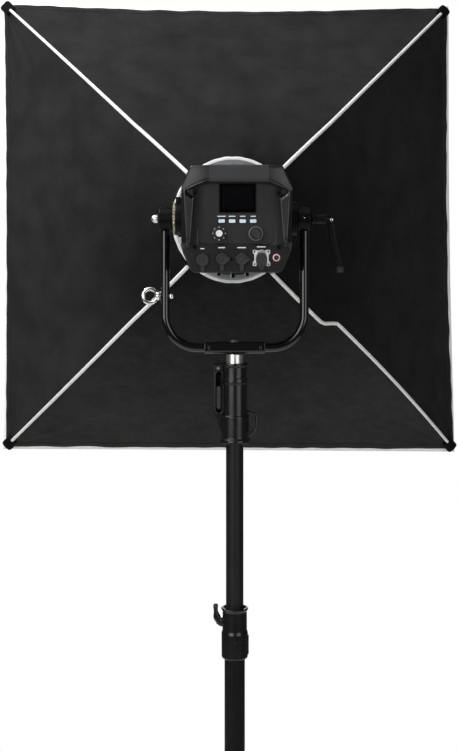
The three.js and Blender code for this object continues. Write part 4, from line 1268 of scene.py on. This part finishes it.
def build_receiver():
    """The casting on top of the riser, with its slotted fin, latch and tie loop."""
    top, low = -247.5, -384.0
    body = turned([(14.6, top - 84), (14.6, top - 1), (15.6, top), (22.6, top), (23.6, top - 1.2),
        (23.6, top - 4), (22.0, top - 6.4), (22.0, top - 24.5), (23.2, top - 26.5), (23.2, top - 33.5),
        (22.0, top - 35.5), (22.0, top - 89), (23.6, low + 47.2), (24.5, low + 46), (24.2, low + 9),
        (26.4, low + 5.4), (27.0, low + 3), (26.6, low), (15.3, low)], sides=96, soft=1.1)
    slot = rectangle(-26.7, -297.3, 12.0, 70, 5.8)
    fin_outline = softened([(-21, top - 0.5), (-36.5, top - 0.5), (-36.5, -331), (-31, -342.5), (-27, -360),
        (-21, -372)], 6, steps=5)
    fin = plate(fin_outline, [slot], -8, 8, bevel=1.6)
    rim = plate(rectangle(-26.7, -297.3, 15.4, 74, 7.4), [slot], -9.4, -6, 0.9)
    cap_roll = at(pipe([(-36, 0, 0), (-20, 0, 0)], 3.2, sides=20), 0, -5.5, top - 3.4)
    loop_out = softened([(21, -328.6), (28, -330), (37, -334), (40.2, -340), (40.2, -362), (37, -368.2),
        (21, -374.6)], 5, steps=5)
    loop_in = softened([(24.6, -334.4), (31, -336.6), (35.4, -340.4), (35.4, -360.4), (32.4, -364),
        (24.6, -367.6)], 3.4, steps=5)
    tie = plate(loop_out, [loop_in], -4.2, 4.2, bevel=2.1)
    parts = joined(body, fin, rim, cap_roll, tie)
    show("receiver_body", parts, "casting", "top_mast", replaces=("receiver",))
    screw = at(turned([(0, -9.6), (2.6, -9.4), (3.0, -8.4), (3.0, -6), (0, -6)], sides=24, toward="Y"),
        -28.4, 0, top - 8.8)
    show("receiver_screw", screw, "knob_ring", "top_mast")
    # A dark sheet behind the fin's through slot: painted shade inside the slot.
    back = plate(rectangle(-26.9, -297.3, 13.6, 72, 6), [], 5.4, 7.4, bevel=0.4)
    show("slot_shade_sheet", back, "tube_dark", "top_mast")
    latch = plate(rectangle(-27.7, -307, 8.6, 40, 4.1), [], -4.6, 4.4, bevel=1.2)
    grips = [block((-30.5, -5.2, -306.5 + dz), (-24.9, -4.2, -305.3 + dz), 0.4, 2)
        for dz in (-9, -4.5, 0, 4.5, 9)]
    show("latch_bar", joined(latch, *grips), "latch", "latch", replaces=("receiver_latch",))


def build_clamp(name, body, lever_body, lower_r, upper_r, low, high):
    """A clamping collar and its bent thumb lever, in floor coordinates."""
    collar = turned([(lower_r + 0.4, low + 5), (lower_r + 3.6, low + 5), (lower_r + 5.0, low + 7.6),
        (lower_r + 5.2, low + 48), (lower_r + 4.6, low + 50), (lower_r + 3.6, low + 52.6),
        (lower_r + 3.4, high - 6.6), (lower_r + 4.6, high - 4.6), (lower_r + 6.0, high - 2.6),
        (lower_r + 5.6, high - 0.8), (upper_r + 3.8, high - 0.8), (upper_r + 3.8, high - 8),
        (upper_r + 0.5, high - 8)], sides=96, soft=1.0)
    bush = turned([(upper_r + 0.5, high - 7), (upper_r + 0.5, high - 1.8), (upper_r + 3.9, high - 1.8),
        (upper_r + 3.9, high - 7)], sides=72, soft=0.5)
    lever_z = high - 26
    boss = at(turned([(0, -lower_r - 8), (6.4, -lower_r - 8), (7.5, -lower_r - 6.8), (7.5, -lower_r + 2),
        (0, -lower_r + 2)], sides=40, toward="X"), 0, 0, lever_z)
    seam_rib = block((lower_r + 1, -3.2, low + 11), (lower_r + 6.6, 3.2, low + 44), 1.2)
    rivet = at(turned([(0, -lower_r - 5.3), (1.3, -lower_r - 5.1), (1.6, -lower_r - 4), (0, -lower_r - 4)],
        sides=20, toward="Y"), 0, 0, low + 36.5)
    show(name + "_collar", joined(collar, boss, seam_rib), "casting", body, place=FLOOR, replaces=(name,))
    show(name + "_guide_bush", bush, "hole", body, place=FLOOR)
    show(name + "_rivet", rivet, "latch", body, place=FLOOR)

    x0 = -lower_r - 8
    stations = [(-6.6, 1.6, 2.2, 3.0), (-4.6, 0.8, 4.2, 4.6), (-1.5, -0.6, 5.4, 5.6), (2.5, -2.6, 6.2, 6.0),
        (6.5, -4.2, 6.6, 6.2), (10.5, -5.2, 6.2, 6.2), (14, -5.8, 5.0, 6.0), (17.5, -6.6, 3.9, 5.8),
        (21, -7.2, 3.6, 5.4), (24.5, -7.4, 3.9, 5.0), (28, -7.3, 4.2, 4.6), (30.3, -7.2, 3.6, 4.0),
        (31.4, -7.2, 2.0, 2.8)]
    paddle = []
    for z, x, wide, half in stations:
        paddle.append([Vector((x0 + x + a, b, lever_z + z)) for a, b in rounded_loop(wide, half, 2.3, 40)])
    screw = at(turned([(0, x0 - 6), (3.8, x0 - 6), (3.9, x0 + 6), (0, x0 + 6)], sides=28, toward="X"), 0, 0,
        lever_z)
    show(name + "_thumb_lever", joined(loft(paddle), screw), "casting", lever_body, place=FLOOR,
        replaces=(name + "_lever",), angle=50)


def build_tubes():
    """The telescopic tubes with rolled edges, and the plug that closes the column's foot."""
    wall = 1.5
    for name, body, look, radius, low, high in (("base_column", "stand", "tube_dark", 20, 110, 1005),
            ("mid_tube", "mid_mast", "tube_dark", 17.5, 420, 1240),
            ("riser_tube", "top_mast", "tube", 15, 760, 1600)):
        profile = [(radius - wall, low), (radius - 0.4, low), (radius, low + 0.6), (radius, high - 0.6),
            (radius - 0.4, high), (radius - wall, high)]
        parts = [turned(profile, sides=72, soft=0)]
        if name == "base_column":
            plug = [(0, low - 2), (radius - 4, low - 2), (radius + 1, low + 1), (radius + 1, low + 9),
                (radius, low + 11), (0, low + 11)]
            parts.append(turned(plug, sides=72, soft=1))
        show(name + "_pipe", joined(*parts), look, body, FLOOR, (name,))


# ---------------------------------------------------------------- the stand's base

LEGS = 3
LEG_PIVOT = Vector((52, 0, 880))
LEG_LENGTH = 1056.0
LEG_REACH = 684.0                   # from the column to the outer edge of a foot
FOOT_RADIUS = 19.0
BRACE_LENGTH = 330.0
BRACE_ON_LEG = 380.0
BRACE_PIVOT = Vector((46, 16, span("spreader_collar", FLOOR)[0].z + 16))
RUN = LEG_REACH - LEG_PIVOT.x
LEG_ANGLE = math.atan2(RUN, LEG_PIVOT.z) - math.asin(FOOT_RADIUS / math.hypot(RUN, LEG_PIVOT.z))
BRACE_ANGLE = math.asin((LEG_PIVOT.x + BRACE_ON_LEG * math.sin(LEG_ANGLE) - BRACE_PIVOT.x) / BRACE_LENGTH)


def leg_turn(index):
    """Turns a leg's own frame, with +X outwards and +Y sideways, to its place round the column."""
    return Matrix.Rotation(math.radians(-90 + index * 360 / LEGS), 4, "Z")


def hex_bolt(length, radius):
    """A bolt along Y, centred on the origin: washer and domed hexagon head at -Y, nut at +Y."""
    half = length / 2
    washer = [(0, -half - 1.2), (radius * 2.3, -half - 1.2), (radius * 2.3, -half), (0, -half)]
    head = [(0, -half - 5.2), (radius * 1.4, -half - 5.0), (radius * 1.9, -half - 4.2),
        (radius * 1.9, -half - 1.2), (0, -half - 1.2)]
    shank = [(0, -half), (radius, -half), (radius, half + 6), (radius * 0.7, half + 7), (0, half + 7)]
    nut = [(radius * 0.9, half + 1.2), (radius * 1.9, half + 1.2), (radius * 1.9, half + 4.4),
        (radius * 1.6, half + 5), (radius * 0.9, half + 5)]
    return joined(turned(washer, 32, 0.2, "Y"), turned(head, 6, 0.4, "Y"), turned(shank, 24, 0.2, "Y"),
        turned([(r, -h) for r, h in washer], 32, 0.2, "Y"), turned(nut, 6, 0.3, "Y"))


def rivet(length, radius):
    """A rivet along Y with a domed head at each end."""
    half = length / 2
    profile = [(0, -half - radius * 0.8), (radius * 0.9, -half - radius * 0.6), (radius * 1.5, -half),
        (radius, -half), (radius, half), (radius * 1.5, half), (radius * 0.9, half + radius * 0.6),
        (0, half + radius * 0.8)]
    return turned(profile, 24, 0.3, "Y")


def build_leg_hub():
    """The collar that the three legs hinge on."""
    low, high = LEG_PIVOT.z - 26, LEG_PIVOT.z + 20
    collar = turned([(20.4, low), (29, low), (32.4, low + 2.4), (33, low + 5), (31, low + 8),
        (31, high - 12), (33, high - 9), (33, high - 3), (30, high), (20.4, high)], sides=96, soft=1.6)
    parts, bolts = [collar], []
    for index in range(LEGS):
        turn = leg_turn(index)
        x, z = LEG_PIVOT.x, LEG_PIVOT.z
        ear = softened([(26, z - 17), (x - 6, z - 9.4), (x + 4, z - 9.2), (x + 9.4, z - 4),
            (x + 9.4, z + 4), (x + 4, z + 9.2), (x - 6, z + 9.4), (26, z + 14)], 5, steps=5)
        for low_y, high_y in ((5.4, 10.4), (-10.4, -5.4)):
            parts.append(moved(plate(ear, [], low_y, high_y, 1.2), turn))
        web = block((28, -6, z - 18), (35, 6, z - 6), 1.5)
        parts.append(moved(web, turn))
        bolts.append(moved(hex_bolt(21, 3.6), turn @ Matrix.Translation(LEG_PIVOT)))
    pinch = block((-36.5, -5, low + 10), (-30, 5, high - 14), 1.4)
    parts.append(moved(pinch, leg_turn(0)))
    show("leg_hub_casting", joined(*parts), "casting", "stand", place=FLOOR, replaces=("leg_hub",))
    show("leg_hub_bolts", joined(*bolts), "steel", "stand", place=FLOOR)


def build_spreader():
    """The sliding collar that the three braces hinge on."""
    z = BRACE_PIVOT.z
    collar = turned([(20.4, z - 16), (28.4, z - 16), (30, z - 14), (31, z - 11), (29.6, z - 8),
        (29.6, z + 8), (31, z + 11), (30, z + 14), (28.4, z + 16), (20.4, z + 16)], sides=96, soft=1.4)
    parts, rivets = [collar], []
    for index in range(LEGS):
        turn = leg_turn(index)
        x = BRACE_PIVOT.x
        ear = softened([(12, z - 13), (30, z - 12), (x + 3, z - 7.8), (x + 7.8, z - 3), (x + 7.8, z + 3),
            (x + 3, z + 7.8), (30, z + 12), (12, z + 13)], 4, steps=5)
        parts.append(moved(plate(ear, [], 18.7, 23.6, 1.1), turn))
        place = turn @ Matrix.Translation((x, 18.6, z))
        rivets.append(moved(rivet(10.6, 3.0), place))
    show("spreader_casting", joined(*parts), "casting", "spreader", place=FLOOR,
        replaces=("spreader_collar",))
    show("spreader_rivets", joined(*rivets), "steel", "spreader", place=FLOOR)


def foot_mesh(down):
    """A ribbed rubber foot on the end of a leg, cut flat where it meets the floor."""
    end = -LEG_LENGTH
    side = [(0, end - 40), (FOOT_RADIUS, end - 40)]
    for rib in range(7):
        z = end - 12 + rib * 8
        side += [(FOOT_RADIUS, z), (FOOT_RADIUS, z + 4.6), (FOOT_RADIUS - 1.1, z + 5.4),
            (FOOT_RADIUS - 1.1, z + 7.2)]
    side += [(FOOT_RADIUS - 0.3, end + 45), (17, end + 56), (15.8, end + 64), (14.6, end + 66),
        (12.8, end + 66), (12.8, end + 60), (0, end + 60)]
    mesh = moved(turned(side, sides=64, soft=0.35), down)
    with edited(mesh) as work:
        parts = work.verts[:] + work.edges[:] + work.faces[:]
        cut = bmesh.ops.bisect_plane(work, geom=parts, plane_co=(0, 0, 0), plane_no=(0, 0, -1),
            clear_outer=True)
        rim = [item for item in cut["geom_cut"] if isinstance(item, bmesh.types.BMEdge)]
        bmesh.ops.holes_fill(work, edges=rim, sides=0)
    return mesh


def build_legs():
    """The legs with their feet, and the braces."""
    for index in range(LEGS):
        number = str(index + 1)
        turn = leg_turn(index)
        down = turn @ Matrix.Translation(LEG_PIVOT) @ Matrix.Rotation(-LEG_ANGLE, 4, "Y")
        tube = turned([(11.4, -996), (12.2, -996), (12.5, -995.6), (12.5, -38), (11.4, -38)], sides=56,
            soft=0)
        socket = turned([(0, -48), (12.6, -48), (13.3, -47), (13.3, -30), (12.2, -25.4), (8, -21),
            (0, -21)], sides=56, soft=1.2)
        eye = turned([(3.8, -4.8), (7.4, -4.8), (8.2, -4), (8.2, 4), (7.4, 4.8), (3.8, 4.8)], 40, 0.4, "Y")
        tang = block((-7.8, -4.8, -30), (7.8, 4.8, -2.5), 1.4)
        band = turned([(12.4, -391), (13.1, -391), (13.4, -390), (13.4, -370), (13.1, -369), (12.4, -369)],
            56, 0.3)
        boss = at(turned([(0, 11), (6.4, 11), (6.4, 13.7), (0, 13.7)], 32, 0.4, "Y"), 0, 0, -BRACE_ON_LEG)
        show("leg_tube_" + number, moved(tube, down), "tube", "leg_" + number, place=FLOOR,
            replaces=("leg_" + number,))
        show("leg_fittings_" + number, moved(joined(socket, eye, tang, band, boss), down), "casting",
            "leg_" + number, place=FLOOR)
        pin = moved(rivet(9.4, 2.8), down @ Matrix.Translation((0, 15.6, -BRACE_ON_LEG)))
        show("brace_rivet_" + number, pin, "steel", "leg_" + number, place=FLOOR)
        show("rubber_foot_" + number, foot_mesh(down), "foot", "leg_" + number, place=FLOOR,
            replaces=("foot_" + number,), angle=40)

        half = 7.0
        ends = [(half * math.cos(a), half * math.sin(a)) for a in [math.pi * (1 + k / 12)
            for k in range(13)]]
        outline = ends + [(-x, BRACE_LENGTH - z) for x, z in ends]
        groove = [(half * 0.4 * math.cos(a), 26 + half * 0.4 * math.sin(a))
            for a in [math.pi * (1 + k / 8) for k in range(9)]]
        groove += [(-x, BRACE_LENGTH - z) for x, z in groove]
        bar = plate(outline, [groove], -2, 2, 0.6)
        floor = plate(groove, [], -1.0, 1.0, 0.2)
        up = turn @ Matrix.Translation(BRACE_PIVOT) @ Matrix.Rotation(BRACE_ANGLE, 4, "Y")
        show("brace_bar_" + number, moved(joined(bar, floor), up), "tube", "brace_" + number, place=FLOOR,
            replaces=("brace_" + number,))


# ---------------------------------------------------------------- the CAD pieces that stay

def carry_over():
    """Gives the CAD nodes that keep their own shape a surface."""
    for name, look in (("cooling_fan", "fan"), ("heat_sink", "ring"), ("led_module", "led")):
        data = frame["nodes"][name].data
        data.materials.clear()
        data.materials.append(FINISHES[look])
        data.shade_smooth()
        data.set_sharp_from_angle(angle=math.radians(30))


build_camera()
build_stage()
FINISHES = build_finishes()
carry_over()
build_softbox()
build_rear_cover()
build_casing()
build_controls()
build_knobs()
build_connectors()
build_optics()
build_yoke()
build_pivots()
build_receiver()
build_clamp("riser_clamp", "mid_mast", "riser_lever", 17.5, 15, TILT.z * 1000 - 759, TILT.z * 1000 - 667)
build_clamp("base_clamp", "stand", "base_lever", 20, 17.5, 935, 1027)
build_tubes()
build_leg_hub()
build_spreader()
build_legs()
